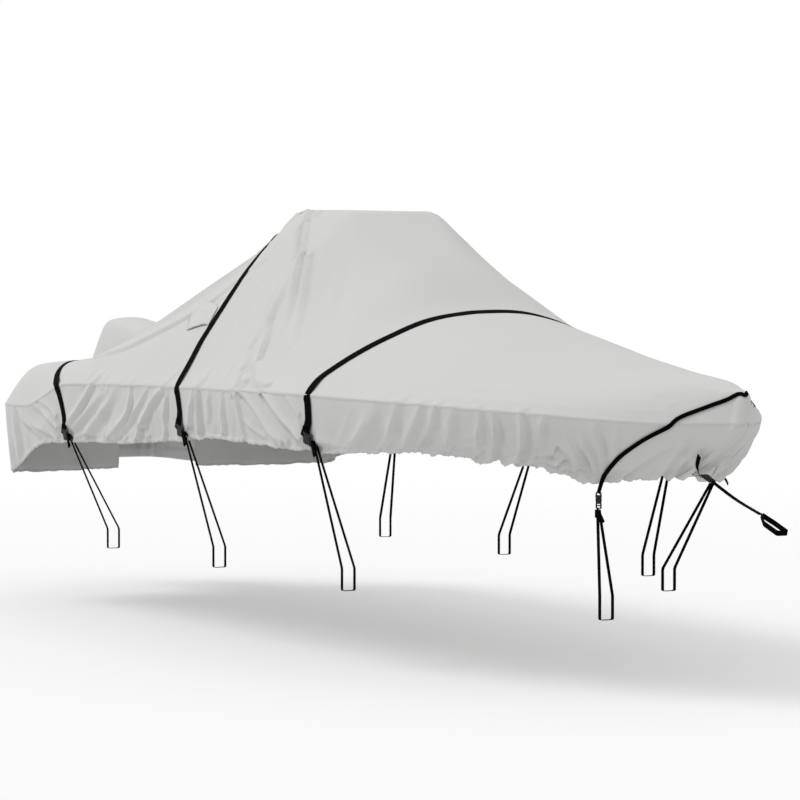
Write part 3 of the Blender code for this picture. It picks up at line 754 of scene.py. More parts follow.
    def stations(self, step: float, corner_steps: int = 22, tip_steps: int = 9) -> np.ndarray:
        """Stations from the aft end to the bow tip, closer together round the corners and the tip."""
        turn = np.linspace(math.pi / 2, 0.0, corner_steps + 1)[:-1]
        corner = self.aft_x + self.aft_round - self.aft_round * np.sin(turn)
        start, end = self.aft_x + self.aft_round, self.bow_tip - self.tip_radius
        front = self.aft_panel_front
        aft = np.linspace(start, front, int(round((front - start) / step)) + 1)[:-1]
        fore = np.linspace(front, end, int(round((end - front) / step)) + 1)[:-1]
        tip = end + self.tip_radius * np.sin(np.linspace(0.0, math.pi / 2, tip_steps + 1))
        return np.concatenate([corner, aft, fore, tip])

    def edge_chain(self, side: Side, step: float) -> np.ndarray:
        """Places along one side's edge line, from beside the hood round the corner to the bow tip."""
        sides = self.edge(self.stations(step, 30, 12), side)
        across = np.arange(self.hood_half, self.aft_half, 0.010)
        aft_x = np.full_like(across, self.aft_x)
        y = side.value * across
        aft = np.stack([aft_x, y, self.height(aft_x, y)], axis=-1)
        return np.concatenate([aft, sides])

    def chart(self, x: np.ndarray, girth: np.ndarray) -> np.ndarray:
        """Places by station and girth, on the top or the skirt."""
        top = self.top(x, np.clip(girth, -1.0, 1.0))
        share = np.abs(girth) - 1.0
        return np.array([self.skirt(top[i:i + 1], share[i:i + 1])[0, 0] if share[i] > 0 else top[i]
                         for i in range(len(x))])

    def chart_normals(self, x: np.ndarray, girth: np.ndarray) -> np.ndarray:
        """Outward directions at places by station and girth, from short steps on the face."""
        step = 0.02
        across = self.chart(x, girth + step) - self.chart(x, girth - step)
        along = self.chart(x + step, girth) - self.chart(x - step, girth)
        return unit(np.cross(along, across))


# ---- Folds ----


@dataclass(frozen=True)
class Crease:
    """A fold drawn on one half: a crest along a route, with a hollow on its lower, forward side."""

    route: tuple[tuple[float, float], ...]
    height: float
    width: float
    hollow: float
    swell: Place = (0.25, 1.0, 1.0)


# Each route is a row of (station x, girth) places.
PEAK_CREASES = (
    Crease(((-0.27, 0.44), (-0.14, 0.53), (0.00, 0.585), (0.14, 0.635), (0.27, 0.69), (0.36, 0.73),
            (0.45, 0.77), (0.60, 0.86)), 0.022, 0.014, 1.2, (0.35, 1, 0.05)),
    Crease(((-0.12, 0.50), (0.02, 0.56), (0.15, 0.61), (0.34, 0.68), (0.49, 0.74), (0.59, 0.78),
            (0.73, 0.84), (0.85, 0.88)), 0.013, 0.016, 0.9, (0.6, 1, 0.1)),
    Crease(((0.10, 0.66), (0.24, 0.73), (0.34, 0.80), (0.40, 0.85)), 0.010, 0.014, 0.9, (0.1, 1, 0.3)),
    Crease(((0.29, 0.77), (0.34, 0.80), (0.49, 0.86), (0.57, 0.91)), 0.010, 0.010, 1.1, (0.3, 1, 1)),
    Crease(((0.31, 0.82), (0.36, 0.86), (0.41, 0.90), (0.50, 0.94)), 0.008, 0.010, 1.1, (0.1, 1, 0.8)),
    Crease(((0.14, 0.72), (0.24, 0.79), (0.38, 0.85)), 0.006, 0.016, 0.8, (0.1, 1, 0.1)),
    Crease(((-0.16, 0.66), (0.00, 0.78), (0.12, 0.90)), 0.003, 0.024, 0.7, (0.2, 1, 0.2)),
    Crease(((0.50, 0.60), (0.70, 0.70), (0.90, 0.80)), 0.003, 0.030, 0.7, (0.2, 1, 0.2)),
)
HIP_CREASES = (
    Crease(((-0.30, 0.50), (-0.80, 0.50), (-1.30, 0.50), (-1.75, 0.50)), 0.014, 0.015, 0.6, (0.8, 1, 0.3)),
    Crease(((-0.22, 0.66), (-0.45, 0.69), (-0.70, 0.73), (-0.92, 0.745), (-1.19, 0.74), (-1.45, 0.70)),
           0.013, 0.014, 1.2, (0.5, 1, 0.2)),
    Crease(((-0.30, 0.57), (-0.60, 0.61), (-0.88, 0.66), (-1.10, 0.68)), -0.012, 0.026, 0.3, (0.4, 1, 0.2)),
    Crease(((-0.43, 0.56), (-0.64, 0.56), (-0.88, 0.60), (-1.07, 0.62)), 0.007, 0.012, 0.8, (0.3, 1, 0.2)),
)
DECK_CREASES = (
    Crease(((1.45, 0.955), (1.92, 0.955), (2.49, 0.950), (2.94, 0.940), (3.20, 0.920)), 0.0035, 0.030, 0.6),
    Crease(((1.53, 0.900), (2.12, 0.890), (2.71, 0.880), (3.10, 0.870)), 0.0030, 0.040, 0.6),
    Crease(((0.55, 0.55), (0.95, 0.70), (1.25, 0.83)), 0.0035, 0.060, 0.5),
)
EDGE_CREASES = (
    Crease(((-1.29, 0.83), (-1.27, 0.93), (-1.30, 1.02)), 0.006, 0.014, 0.6, (0.1, 1, 0.8)),
    Crease(((-1.08, 0.90), (-1.04, 0.97), (-1.02, 1.04)), 0.006, 0.014, 0.6, (0.1, 1, 0.8)),
    Crease(((-0.69, 0.95), (-0.65, 1.02)), 0.006, 0.012, 0.6, (0.1, 1, 0.8)),
    Crease(((0.20, 0.93), (0.29, 0.99)), 0.005, 0.013, 0.6, (0.1, 1, 0.6)),
    Crease(((0.34, 0.90), (0.40, 0.98)), 0.005, 0.013, 0.6, (0.1, 1, 0.6)),
)
AFT_SKIRT_CREASES = (
    Crease(((-1.99, 1.02), (-1.80, 1.48), (-1.66, 1.84)), 0.016, 0.017, 0.6, (0.2, 0.9, 1)),
    Crease(((-1.92, 1.00), (-1.76, 1.32), (-1.67, 1.70)), 0.014, 0.015, 0.6, (0.3, 0.9, 1)),
    Crease(((-2.12, 1.16), (-1.96, 1.58), (-1.74, 1.92)), 0.010, 0.016, 0.6, (0.2, 0.9, 1)),
    Crease(((-2.24, 1.03), (-2.10, 1.38), (-1.91, 1.88)), 0.013, 0.020, 0.6, (0.3, 1, 0.4)),
    Crease(((-2.30, 1.07), (-2.27, 1.55), (-2.27, 1.95)), 0.016, 0.024, 0.6, (0.3, 1, 0.7)),
    Crease(((-2.42, 1.05), (-2.40, 1.60), (-2.42, 1.95)), 0.012, 0.030, 0.5, (0.2, 1, 0.9)),
    Crease(((-1.12, 0.92), (-1.16, 0.98), (-1.27, 1.23), (-1.54, 1.68)), 0.017, 0.016, 0.7, (0.1, 0.9, 1)),
    Crease(((-0.97, 1.05), (-1.24, 1.43), (-1.51, 1.74)), 0.016, 0.022, 0.7, (0.3, 1, 1)),
    Crease(((-0.83, 1.02), (-1.04, 1.43), (-1.30, 1.80)), 0.017, 0.028, 0.7, (0.2, 1, 0.8)),
    Crease(((-1.52, 1.90), (-1.35, 1.84), (-1.15, 1.88)), 0.009, 0.016, 0.7, (1, 1, 0.3)),
    Crease(((-0.65, 1.00), (-0.73, 1.48), (-1.02, 1.88)), 0.015, 0.015, 0.8, (0.4, 1, 0.9)),
    Crease(((-0.45, 1.02), (-0.56, 1.32), (-0.71, 1.62), (-0.96, 1.92)), 0.014, 0.014, 0.7, (0.4, 1, 1)),
    Crease(((-0.22, 0.97), (-0.42, 1.32), (-0.64, 1.90)), 0.019, 0.016, 0.7, (0.4, 1, 1)),
    Crease(((-0.19, 0.98), (-0.30, 1.92)), 0.015, 0.013, 0.7, (0.3, 1, 1)),
    Crease(((-0.58, 1.55), (-0.50, 1.93)), 0.010, 0.013, 0.7, (0.1, 1, 1)),
    Crease(((-0.84, 1.62), (-0.80, 1.94)), 0.010, 0.014, 0.7, (0.1, 1, 1)),
)
MIDDLE_SKIRT_CREASES = (
    Crease(((0.12, 0.99), (0.02, 1.70)), 0.012, 0.015, 0.7, (0.4, 1, 0.9)),
    Crease(((0.16, 0.95), (0.17, 1.10), (0.14, 1.80)), 0.016, 0.015, 0.8, (0.3, 1, 0.9)),
    Crease(((0.30, 1.00), (0.27, 1.60)), 0.009, 0.015, 0.7, (0.3, 1, 0.5)),
    Crease(((0.44, 1.10), (0.42, 1.80)), 0.011, 0.017, 1.0, (0.3, 1, 0.8)),
    Crease(((0.50, 0.94), (0.60, 1.10), (0.63, 1.90)), 0.011, 0.015, 0.7, (0.3, 1, 0.9)),
    Crease(((0.43, 0.90), (0.54, 0.95), (0.64, 0.99), (0.70, 1.05), (0.82, 1.32), (1.00, 1.80),
            (1.06, 1.94)), 0.017, 0.014, 0.9, (0.3, 1, 1)),
    Crease(((0.49, 0.86), (0.57, 0.91), (0.75, 0.97), (0.91, 1.00), (1.01, 1.20), (1.10, 1.43),
            (1.20, 1.62), (1.32, 1.88)), 0.019, 0.015, 0.9, (0.2, 1, 1)),
    Crease(((0.95, 1.04), (1.10, 1.40), (1.29, 1.78)), 0.009, 0.013, 0.7, (0.3, 1, 1)),
    Crease(((1.14, 1.00), (1.24, 1.30), (1.32, 1.70)), 0.009, 0.013, 0.7, (0.3, 1, 1)),
    Crease(((0.66, 1.56), (0.88, 1.84)), 0.009, 0.014, 0.8, (0.2, 1, 0.6)),
    Crease(((0.80, 1.50), (1.12, 1.90)), 0.009, 0.015, 0.8, (0.2, 1, 0.8)),
    Crease(((1.36, 1.86), (1.50, 1.80), (1.70, 1.88)), 0.008, 0.018, 0.6, (1, 1, 0.2)),
)
FORE_SKIRT_CREASES = (
    Crease(((1.84, 1.02), (1.80, 1.43), (1.72, 1.80)), 0.015, 0.046, 0.6, (0.2, 1, 0.7)),
    Crease(((1.97, 1.00), (1.95, 1.85)), 0.017, 0.026, 0.7, (0.4, 1, 0.8)),
    Crease(((2.11, 1.00), (2.08, 1.85)), 0.017, 0.022, 0.7, (0.4, 1, 0.9)),
    Crease(((2.20, 1.00), (2.18, 1.85)), 0.013, 0.018, 0.7, (0.4, 1, 0.9)),
    Crease(((2.29, 1.02), (2.34, 1.85)), 0.013, 0.020, 0.7, (0.3, 1, 0.9)),
    Crease(((2.42, 1.00), (2.52, 1.85)), 0.015, 0.015, 0.7, (0.4, 1, 1)),
    Crease(((2.49, 1.02), (2.62, 1.90)), 0.017, 0.015, 0.7, (0.3, 1, 1)),
    Crease(((2.63, 1.00), (2.74, 1.88)), 0.019, 0.016, 0.8, (0.3, 1, 1)),
    Crease(((2.73, 1.02), (2.78, 1.60)), 0.013, 0.014, 0.7, (0.4, 1, 0.6)),
    Crease(((2.88, 1.38), (3.02, 1.77), (3.12, 1.94)), 0.022, 0.013, 0.7, (0.2, 0.9, 1)),
    Crease(((2.92, 1.28), (3.05, 1.70), (3.13, 1.93)), 0.017, 0.011, 0.7, (0.2, 0.9, 1)),
    Crease(((2.96, 1.12), (3.06, 1.55), (3.13, 1.90)), 0.018, 0.013, 0.7, (0.2, 0.9, 1)),
    Crease(((3.04, 1.08), (3.10, 1.50), (3.14, 1.88)), 0.013, 0.012, 0.7, (0.2, 0.9, 1)),
    Crease(((2.88, 1.94), (3.00, 1.90), (3.12, 1.96)), 0.013, 0.013, 0.7, (0.3, 1, 1)),
    Crease(((2.80, 1.74), (2.86, 1.66), (2.93, 1.74)), 0.022, 0.015, 0.7, (0.6, 1, 0.6)),
    Crease(((2.82, 1.90), (2.89, 1.82), (2.97, 1.86)), 0.021, 0.014, 0.7, (0.6, 1, 0.5)),
    Crease(((2.70, 1.94), (2.76, 1.84)), 0.015, 0.013, 0.7, (1, 1, 0.3)),
    Crease(((3.20, 1.94), (3.24, 1.60), (3.30, 1.30)), 0.015, 0.016, 0.7, (1, 0.9, 0.1)),
    Crease(((3.33, 1.34), (3.34, 1.60), (3.36, 1.92)), 0.019, 0.018, 0.7, (0.3, 1, 0.9)),
    Crease(((3.38, 1.60), (3.42, 1.95)), 0.017, 0.016, 0.7, (0.3, 1, 1)),
    Crease(((3.47, 1.10), (3.46, 1.50), (3.48, 1.92)), 0.018, 0.026, 0.7, (0.2, 1, 0.8)),
)
STARBOARD_CREASES = (PEAK_CREASES + HIP_CREASES + DECK_CREASES + EDGE_CREASES + AFT_SKIRT_CREASES
                     + MIDDLE_SKIRT_CREASES + FORE_SKIRT_CREASES)
PORT_CREASES = HIP_CREASES + EDGE_CREASES + AFT_SKIRT_CREASES + MIDDLE_SKIRT_CREASES + FORE_SKIRT_CREASES


class CreaseLine:
    """A crease laid on the cover's face, ready to give its height at any place."""

    LOWER_FORWARD = np.array([0.6, 0.0, -0.8])
    WANDER = 0.016
    PORT_SHIFT = 0.07

    def __init__(self, shape: CoverShape, crease: Crease, side: Side, number: int) -> None:
        """Lays the crease's route on the face, with a slight wander."""
        self.crease = crease
        route = smooth_route(np.array(crease.route), 5)
        self.turns = np.linspace(0.0, 1.0, len(route))
        wander = soft_noise(self.turns * 5.0, np.full_like(self.turns, 3.0 + number), Seed.WANDER) - 0.5
        shift = 0.0
        if side is Side.PORT:
            shift = self.PORT_SHIFT * (lattice(np.array(number), np.array(1), Seed.PORT_SHIFT) - 0.3)
        self.points = shape.chart(route[:, 0] + self.WANDER * wander + shift, side.value * route[:, 1])
        self.seed = number

    def height_at(self, points: np.ndarray) -> np.ndarray:
        """The crease's height off the face at places near it."""
        best = np.full(len(points), np.inf)
        signed = np.zeros(len(points))
        turn = np.zeros(len(points))
        spans = zip(self.points, self.points[1:], self.turns, self.turns[1:])
        for start, end, low, high in spans:
            run = end - start
            share = np.clip(((points - start) @ run) / max(run @ run, 1e-12), 0.0, 1.0)
            away = points - start - share[:, None] * run
            distance = np.linalg.norm(away, axis=1)
            nearer = distance < best
            best = np.where(nearer, distance, best)
            signed = np.where(nearer, np.where(away @ self.LOWER_FORWARD > 0, distance, -distance), signed)
            turn = np.where(nearer, low + share * (high - low), turn)
        crease = self.crease
        wide = crease.width * np.where(signed > 0, 0.75, 1.35)
        crest = np.exp(-np.abs(signed / wide) ** 1.5)
        hollow = crease.hollow * np.exp(-((signed - 1.8 * crease.width) / (1.0 * crease.width)) ** 2)
        swell = np.interp(turn, [0.0, 0.5, 1.0], crease.swell)
        uneven = 0.75 + 0.5 * soft_noise(turn * 4.0, np.full_like(turn, 7.0 * self.seed), Seed.UNEVEN)
        return crease.height * swell * uneven * (crest - hollow)


@dataclass(frozen=True)
class StrapRoute:
    """An over-strap's way, by (station x, girth) from its lower end to the middle, and its width.

    The port half mirrors the starboard one, unless it has places of its own.
    """

    places: tuple[tuple[float, float], ...]
    width: float
    port_places: tuple[tuple[float, float], ...] = ()


STRAP_ROUTES = (
    StrapRoute(((-1.590, 1.74), (-1.595, 1.40), (-1.635, 1.00), (-1.740, 0.92), (-1.840, 0.78),
                (-1.865, 0.66), (-1.845, 0.50), (-1.840, 0.00)), 0.050),
    StrapRoute(((-0.075, 1.66), (-0.062, 1.25), (-0.070, 1.00), (-0.130, 0.94), (-0.200, 0.88),
                (-0.262, 0.78), (-0.345, 0.65), (-0.420, 0.50), (-0.425, 0.00)), 0.050),
    StrapRoute(((1.352, 1.62), (1.345, 1.00), (1.290, 0.94), (1.315, 0.86), (1.365, 0.72), (1.380, 0.57),
                (1.355, 0.30), (1.344, 0.00)), 0.050),
    StrapRoute(((3.135, 1.93), (3.120, 1.72), (3.120, 1.52), (3.140, 1.35), (3.180, 1.20), (3.250, 1.00),
                (3.280, 0.96), (3.330, 0.91), (3.370, 0.86), (3.410, 0.80), (3.450, 0.74), (3.475, 0.60),
                (3.485, 0.00)), 0.020,
               ((2.420, 1.93), (2.440, 1.70), (2.500, 1.35), (2.570, 1.10), (2.600, 1.00), (2.660, 0.97),
                (2.850, 0.95), (3.050, 0.93), (3.230, 0.89), (3.360, 0.84), (3.430, 0.76), (3.475, 0.60),
                (3.485, 0.00))),
)


class Drape:
    """The cover's folds: how far its cloth stands off the smooth face at any place."""

    FOLD_PITCH = 0.125
    SMALL_PITCH = 0.042
    GATHER_PITCH = 0.017
    FOLD_HEIGHT = 0.0130
    SMALL_HEIGHT = 0.0055
    GATHER_HEIGHT = 0.0065
    GATHER_REACH = 0.016
    CRUMPLE_PITCH = 0.034
    CRUMPLE_HEIGHT = 0.0085
    CRUMPLE_REACH = 0.040
    HEM_ROLL = 0.022
    ROLL_HEIGHT = 0.004
    WANDER_PITCH = 0.085
    WANDER_HEIGHT = 0.008
    FINE_PITCH = 0.024
    FINE_HEIGHT = 0.006
    STAND_OFF = 0.006
    PULL_REACH = 0.42
    PULL_SHARE = 0.42
    EDGE_PITCH = 0.075
    EDGE_LEAST = 0.0012
    EDGE_MORE = 0.0030
    EDGE_REACH = 0.055
    SLACK_HEIGHT = 0.0070
    PULLED_HEIGHT = 0.0016
    PRESS_SHARE = 0.85
    PRESS_REACH = 0.045
    GROOVE = 0.0015
    GROOVE_REACH = 0.022
    CALM_X = 1.55
    CALM_REACH = 0.22
    CALM_SHARE = 0.65
    FORE_X = (2.1, 2.6)
    FORE_SHARE = 0.70

    def __init__(self, shape: CoverShape) -> None:
        """Lays the creases and the straps' lines on the face."""
        self.shape = shape
        tables = ((Side.STARBOARD, STARBOARD_CREASES), (Side.PORT, PORT_CREASES))
        self.lines = [CreaseLine(shape, crease, side, number)
                      for side, table in tables for number, crease in enumerate(table)]
        self.strap_places = [self.strap_chart(route) for route in STRAP_ROUTES]
        self.strap_points = [shape.chart(places[:, 0], places[:, 1]) for places in self.strap_places]
        self.pulls = [route.places[0][0] for route in STRAP_ROUTES]

    def strap_chart(self, route: StrapRoute) -> np.ndarray:
        """A strap's whole way, starboard end to port end, as closely spaced (station, girth) rows."""
        whole = [(x, -girth) for x, girth in route.places]
        whole = np.array(whole + list(route.port_places or route.places)[-2::-1])
        made = [whole[:1]]
        for start, end in zip(whole, whole[1:]):
            first, second = self.shape.chart(*np.array([start, end]).T)
            count = max(2, int(np.linalg.norm(second - first) / 0.016))
            made.append(start + (end - start) * (np.arange(1, count + 1) / count)[:, None])
        return relaxed(np.concatenate(made), 4)

    def creases(self, points: np.ndarray) -> np.ndarray:
        """The drawn creases' height at places."""
        total = np.zeros(len(points))
        for line in self.lines:
            reach = 4.5 * line.crease.width
            low, high = line.points.min(axis=0) - reach, line.points.max(axis=0) + reach
            near = np.flatnonzero(((points > low) & (points < high)).all(axis=1))
            if len(near):
                total[near] += line.height_at(points[near])
        return total

    def press(self, points: np.ndarray, height: np.ndarray) -> np.ndarray:
        """Heights after the straps press the cloth down."""
        for line in self.strap_points:
            away = distance_to(points, line)
            height = height * (1 - self.PRESS_SHARE * np.exp(-(away / self.PRESS_REACH) ** 2))
            height = height - self.GROOVE * np.exp(-(away / self.GROOVE_REACH) ** 2)
        return height

    def edge_folds(self, run: np.ndarray, x: np.ndarray) -> np.ndarray:
        """Small folds that cross the edge line, by length along it and by station."""
        more = self.EDGE_MORE * soft_step(-1.5, -1.2, x) * (1 - soft_step(0.35, 0.6, x))
        strength = self.EDGE_LEAST + more
        sharp = crests(run / self.EDGE_PITCH, np.zeros_like(run), Seed.EDGE) ** 2
        return strength * (sharp - 0.35)

    def top_height(self, points: np.ndarray, run: np.ndarray, from_edge: np.ndarray) -> np.ndarray:
        """How far the top's cloth stands off the smooth face."""
        x, y = points[:, 0], points[:, 1]
        slack = self.SLACK_HEIGHT * (soft_noise(x / 0.45, y / 0.30 + 5.0, Seed.SLACK) - 0.5)
        slack += self.PULLED_HEIGHT * (crests(x / 0.16 + y * 1.5, from_edge / 0.4, Seed.PULLED) - 0.5)
        near_edge = np.exp(-from_edge / self.EDGE_REACH)
        height = slack * (1 - near_edge) + self.edge_folds(run, x) * near_edge
        return self.press(points, height + self.creases(points))

    def skirt_height(self, points: np.ndarray, x: np.ndarray, run: np.ndarray, share: np.ndarray,
                     drop: np.ndarray) -> np.ndarray:
        """How far the skirt's cloth stands off the smooth face."""
        down = np.clip(share, 0.0, 1.0)
        source = run.copy()
        for pull in self.pulls:
            near = np.exp(-((x - pull) / self.PULL_REACH) ** 2) * self.PULL_SHARE * down
            source += near * (x - pull) / (1 - near)
        to_hem = (1 - down) * drop
        lively = 0.60 + 0.80 * soft_noise(run / 0.7, np.zeros_like(run), Seed.LIVELY)
        lively *= 1 - self.CALM_SHARE * np.exp(-((x - self.CALM_X) / self.CALM_REACH) ** 2)
        lively *= 1 + self.FORE_SHARE * soft_step(*self.FORE_X, x)
        large = crests(source / self.FOLD_PITCH, down * 0.9, Seed.LARGE) ** 1.7
        small = crests(source / self.SMALL_PITCH + down * 1.5, down * 2.2, Seed.SMALL) ** 1.5
        height = self.FOLD_HEIGHT * lively * (large - 0.25) * (0.10 + 0.90 * down ** 0.8)
        height += self.SMALL_HEIGHT * lively * (small - 0.35) * down ** 1.6
        height += self.STAND_OFF * down
        crumple = crests(run / self.CRUMPLE_PITCH + down * 3.0, to_hem / 0.045, Seed.CRUMPLE) - 0.45
        height += self.CRUMPLE_HEIGHT * crumple * np.exp(-to_hem / self.CRUMPLE_REACH) * lively
        gather = crests(run / self.GATHER_PITCH, to_hem / 0.03, Seed.GATHER) - 0.4
        height += self.GATHER_HEIGHT * gather * np.exp(-to_hem / self.GATHER_REACH)
        roll = np.clip(to_hem / self.HEM_ROLL, 0.0, 1.0)
        uneven = 0.6 + 0.8 * soft_noise(run / 0.02, roll, Seed.ROLL)
        height += self.ROLL_HEIGHT * np.sin(math.pi * roll) * uneven
        height = height * (1 - np.exp(-down * drop / 0.03))
        height += self.edge_folds(run, x) * np.exp(-down * drop / 0.05)
        return self.press(points, height + self.creases(points))

    def hem_jitter(self, run: np.ndarray) -> np.ndarray:
        """How far the gathered hem's edge wanders up and down, by length along it."""
        level = np.zeros_like(run)
        wide = soft_noise(run / self.WANDER_PITCH, level, Seed.HEM_WIDE) - 0.5
        fine = soft_noise(run / self.FINE_PITCH, level, Seed.HEM_FINE) - 0.5
        return self.WANDER_HEIGHT * wide + self.FINE_HEIGHT * fine


def cloth_grid(node: str, places: np.ndarray, height: np.ndarray, keep: np.ndarray | None = None,
               flip: bool = False) -> PieceMesh:
    """A cloth piece's grid, with a painted highlight on its crests and a painted shade in its hollows, by its
    height.
    """
    piece = PieceMesh(f"{node}_cloth")
    # Painted shade and highlight: the fold height sets the value that the cloth's colour reads.
    piece.add_grid(places, grid_lengths(places), np.clip(0.5 + height * 11.0, 0.05, 0.95), keep, flip)
    return piece


# ---- Cloth pieces ----


@dataclass
class CoverPanels:
    """The four cut panels: the top, the aft panel and the two skirts."""

    shape: CoverShape
    drape: Drape
    finishes: Finishes
    station_step: float = 0.0152
    slope_columns: tuple[int, int] = (58, 34)
    ridge_columns: int = 22
    aft_inner_columns: int = 14
    aft_outer_columns: int = 18
    skirt_steps: tuple[float, float] = (0.0066, 0.0105)
    skirt_rows: tuple[int, int] = (38, 28)
    lap: float = 0.0005
    lap_depth: float = 0.014
    end_inset: float = 0.004
    slope_step: float = 0.003
    round_reach: float = 0.030
    tucked_under: float = 0.008
    hem_crowding: float = 1.35
    AFT = np.array([-1.0, 0.0, 0.0])

    def edge_run(self, side: Side) -> tuple[np.ndarray, np.ndarray]:
        """Stations along a side's edge line and the length along it to each."""
        chain = self.shape.edge_chain(side, 0.02)
        forward = np.flatnonzero(np.diff(chain[:, 0]) > 0)[0]
        return chain[forward:, 0], run_of(chain)[forward:]

    def edge_normals(self, x: np.ndarray, side: Side) -> np.ndarray:
        """Directions midway between the top's and the skirt's outward ones, on the edge line."""
        inner = np.clip(x, self.shape.aft_x + self.end_inset, self.shape.bow_tip - self.end_inset)
        half = self.shape.half_width(inner)
        step = self.slope_step
        slope = (self.shape.half_width(inner + step) - self.shape.half_width(inner - step)) / (2 * step)
        level = np.zeros_like(slope)
        outward = unit(np.stack([-slope, level + side.value, level], axis=-1))
        inside = side.value * (1 - 0.03 / np.maximum(half, 0.06))
        rise = self.shape.top(inner, inside) - self.shape.edge(inner, side)
        along = np.cross(outward, np.array([0.0, 0.0, 1.0]))
        top = unit(np.cross(rise, along))
        top = np.where(top[:, 2:] < 0, -top, top)
        return unit(top + outward)

    def place_top(self, x: np.ndarray, girth: np.ndarray) -> tuple[np.ndarray, np.ndarray]:
        """Folded places on the top at a grid of stations and girths, and their heights."""
        smooth = self.shape.top(x, girth)
        normals = grid_normals(smooth)
        normals = np.where(normals[..., 2:] < 0, -normals, normals)
        run = np.zeros_like(x)
        from_edge = np.linalg.norm(smooth - self.shape.top(x, np.sign(girth + 1e-9)), axis=-1)
        for side in Side:
            stations, lengths = self.edge_run(side)
            here = girth * side.value >= 0
            run = np.where(here, np.interp(x, stations, lengths), run)
            edge = self.edge_normals(x[:, 0], side)[:, None, :]
            share = (np.exp(-from_edge / self.round_reach) * here)[..., None]
            normals = unit(normals * (1 - share) + edge * share)
        flat = smooth.reshape(-1, 3)
        height = self.drape.top_height(flat, run.ravel(), from_edge.ravel()).reshape(x.shape)
        return smooth + normals * height[..., None], height

    def collar(self, piece: PieceMesh, edge: np.ndarray, outward: np.ndarray, flip: bool = False) -> None:
        """Adds the narrow turned-down lap below a panel's outer edge."""
        rows = [edge]
        for share, out in ((0.25, 0.9), (0.6, 1.1), (0.92, 1.0), (1.0, 0.35)):
            rows.append(edge + DOWN * self.lap_depth * share + outward * self.lap * out)
        grid = np.stack(rows, axis=1)
        # Painted highlight and shade: the lap's second row is a little lighter and its bottom row a little
        # darker.
        crest = np.tile([0.52, 0.56, 0.5, 0.5, 0.46], (len(edge), 1))
        piece.add_grid(grid, grid_lengths(grid), crest, flip=flip)

    def outward(self, line: np.ndarray, side: Side) -> np.ndarray:
        """Level outward directions along an edge line that runs from aft to fore."""
        along = np.gradient(line, axis=0) * (1, 1, 0)
        level = np.stack([along[:, 1], -along[:, 0], np.zeros(len(line))], axis=-1)
        return unit(level * -side.value)

    def top_panel(self) -> None:
        """The top: both slopes, the flat peak and the foredeck, in one piece."""
        stations = self.shape.stations(self.station_step)
        starboard = np.linspace(-1.0, -0.5, self.slope_columns[0] + 1)[:-1]
        ridge = np.linspace(-0.5, 0.5, self.ridge_columns + 1)
        port = np.linspace(0.5, 1.0, self.slope_columns[1] + 1)[1:]
        columns = np.concatenate([starboard, ridge, port])
        x, girth = np.meshgrid(stations, columns, indexing="ij")
        places, height = self.place_top(x, girth)
        middle_x = (stations[:-1] + stations[1:]) / 2
        middle_girth = np.abs((columns[:-1] + columns[1:]) / 2)
        keep = ~((middle_x[:, None] < self.shape.aft_panel_front) & (middle_girth[None, :] < 0.5))
        piece = cloth_grid(TOP_CUT.node, places, height, keep)
        for side, column in ((Side.STARBOARD, 0), (Side.PORT, -1)):
            edge = places[:, column]
            self.collar(piece, edge, self.outward(edge, side), side is Side.STARBOARD)
        for side in Side:
            here = columns * side.value >= 0.5 - 1e-9
            self.collar(piece, places[0, here], self.AFT)
        TOP_CUT.finish(piece.finish(self.finishes.cloth), self.shape.cloth)

    def aft_columns(self, x: np.ndarray) -> np.ndarray:
        """Girths across the aft panel at each station, with a column at the hood's half width."""
        inner = 0.5 * np.minimum(self.shape.hood_half / self.shape.hip(x), 0.5)
        middle = np.linspace(-1.0, 1.0, 2 * self.aft_inner_columns + 1)
        outer = np.linspace(0.0, 1.0, self.aft_outer_columns + 1)[1:]
        port = inner[:, None] + (0.5 - inner[:, None]) * outer
        return np.concatenate([-port[:, ::-1], inner[:, None] * middle, port], axis=1)

    def aft_panel(self) -> None:
        """The cloth between the two hips behind the peak, cut out round the hood."""
        stations = self.shape.stations(self.station_step)
        stations = stations[stations <= self.shape.aft_panel_front + 1e-9]
        before = stations[stations < self.shape.hood_front - self.end_inset]
        after = stations[stations > self.shape.hood_front + self.end_inset]
        stations = np.concatenate([before, [self.shape.hood_front], after])
        girth = self.aft_columns(stations)
        x = np.repeat(stations[:, None], girth.shape[1], axis=1)
        places, height = self.place_top(x, girth)
        keep = np.ones((len(stations) - 1, girth.shape[1] - 1), bool)
        low, high = self.aft_outer_columns, self.aft_outer_columns + 2 * self.aft_inner_columns
        keep[:len(before), low:high] = False
        piece = cloth_grid(AFT_CUT.node, places, height, keep)
        for first, last in ((0, low + 1), (high, girth.shape[1])):
            self.collar(piece, places[0, first:last], self.AFT)
        AFT_CUT.finish(piece.finish(self.finishes.cloth), self.shape.cloth)

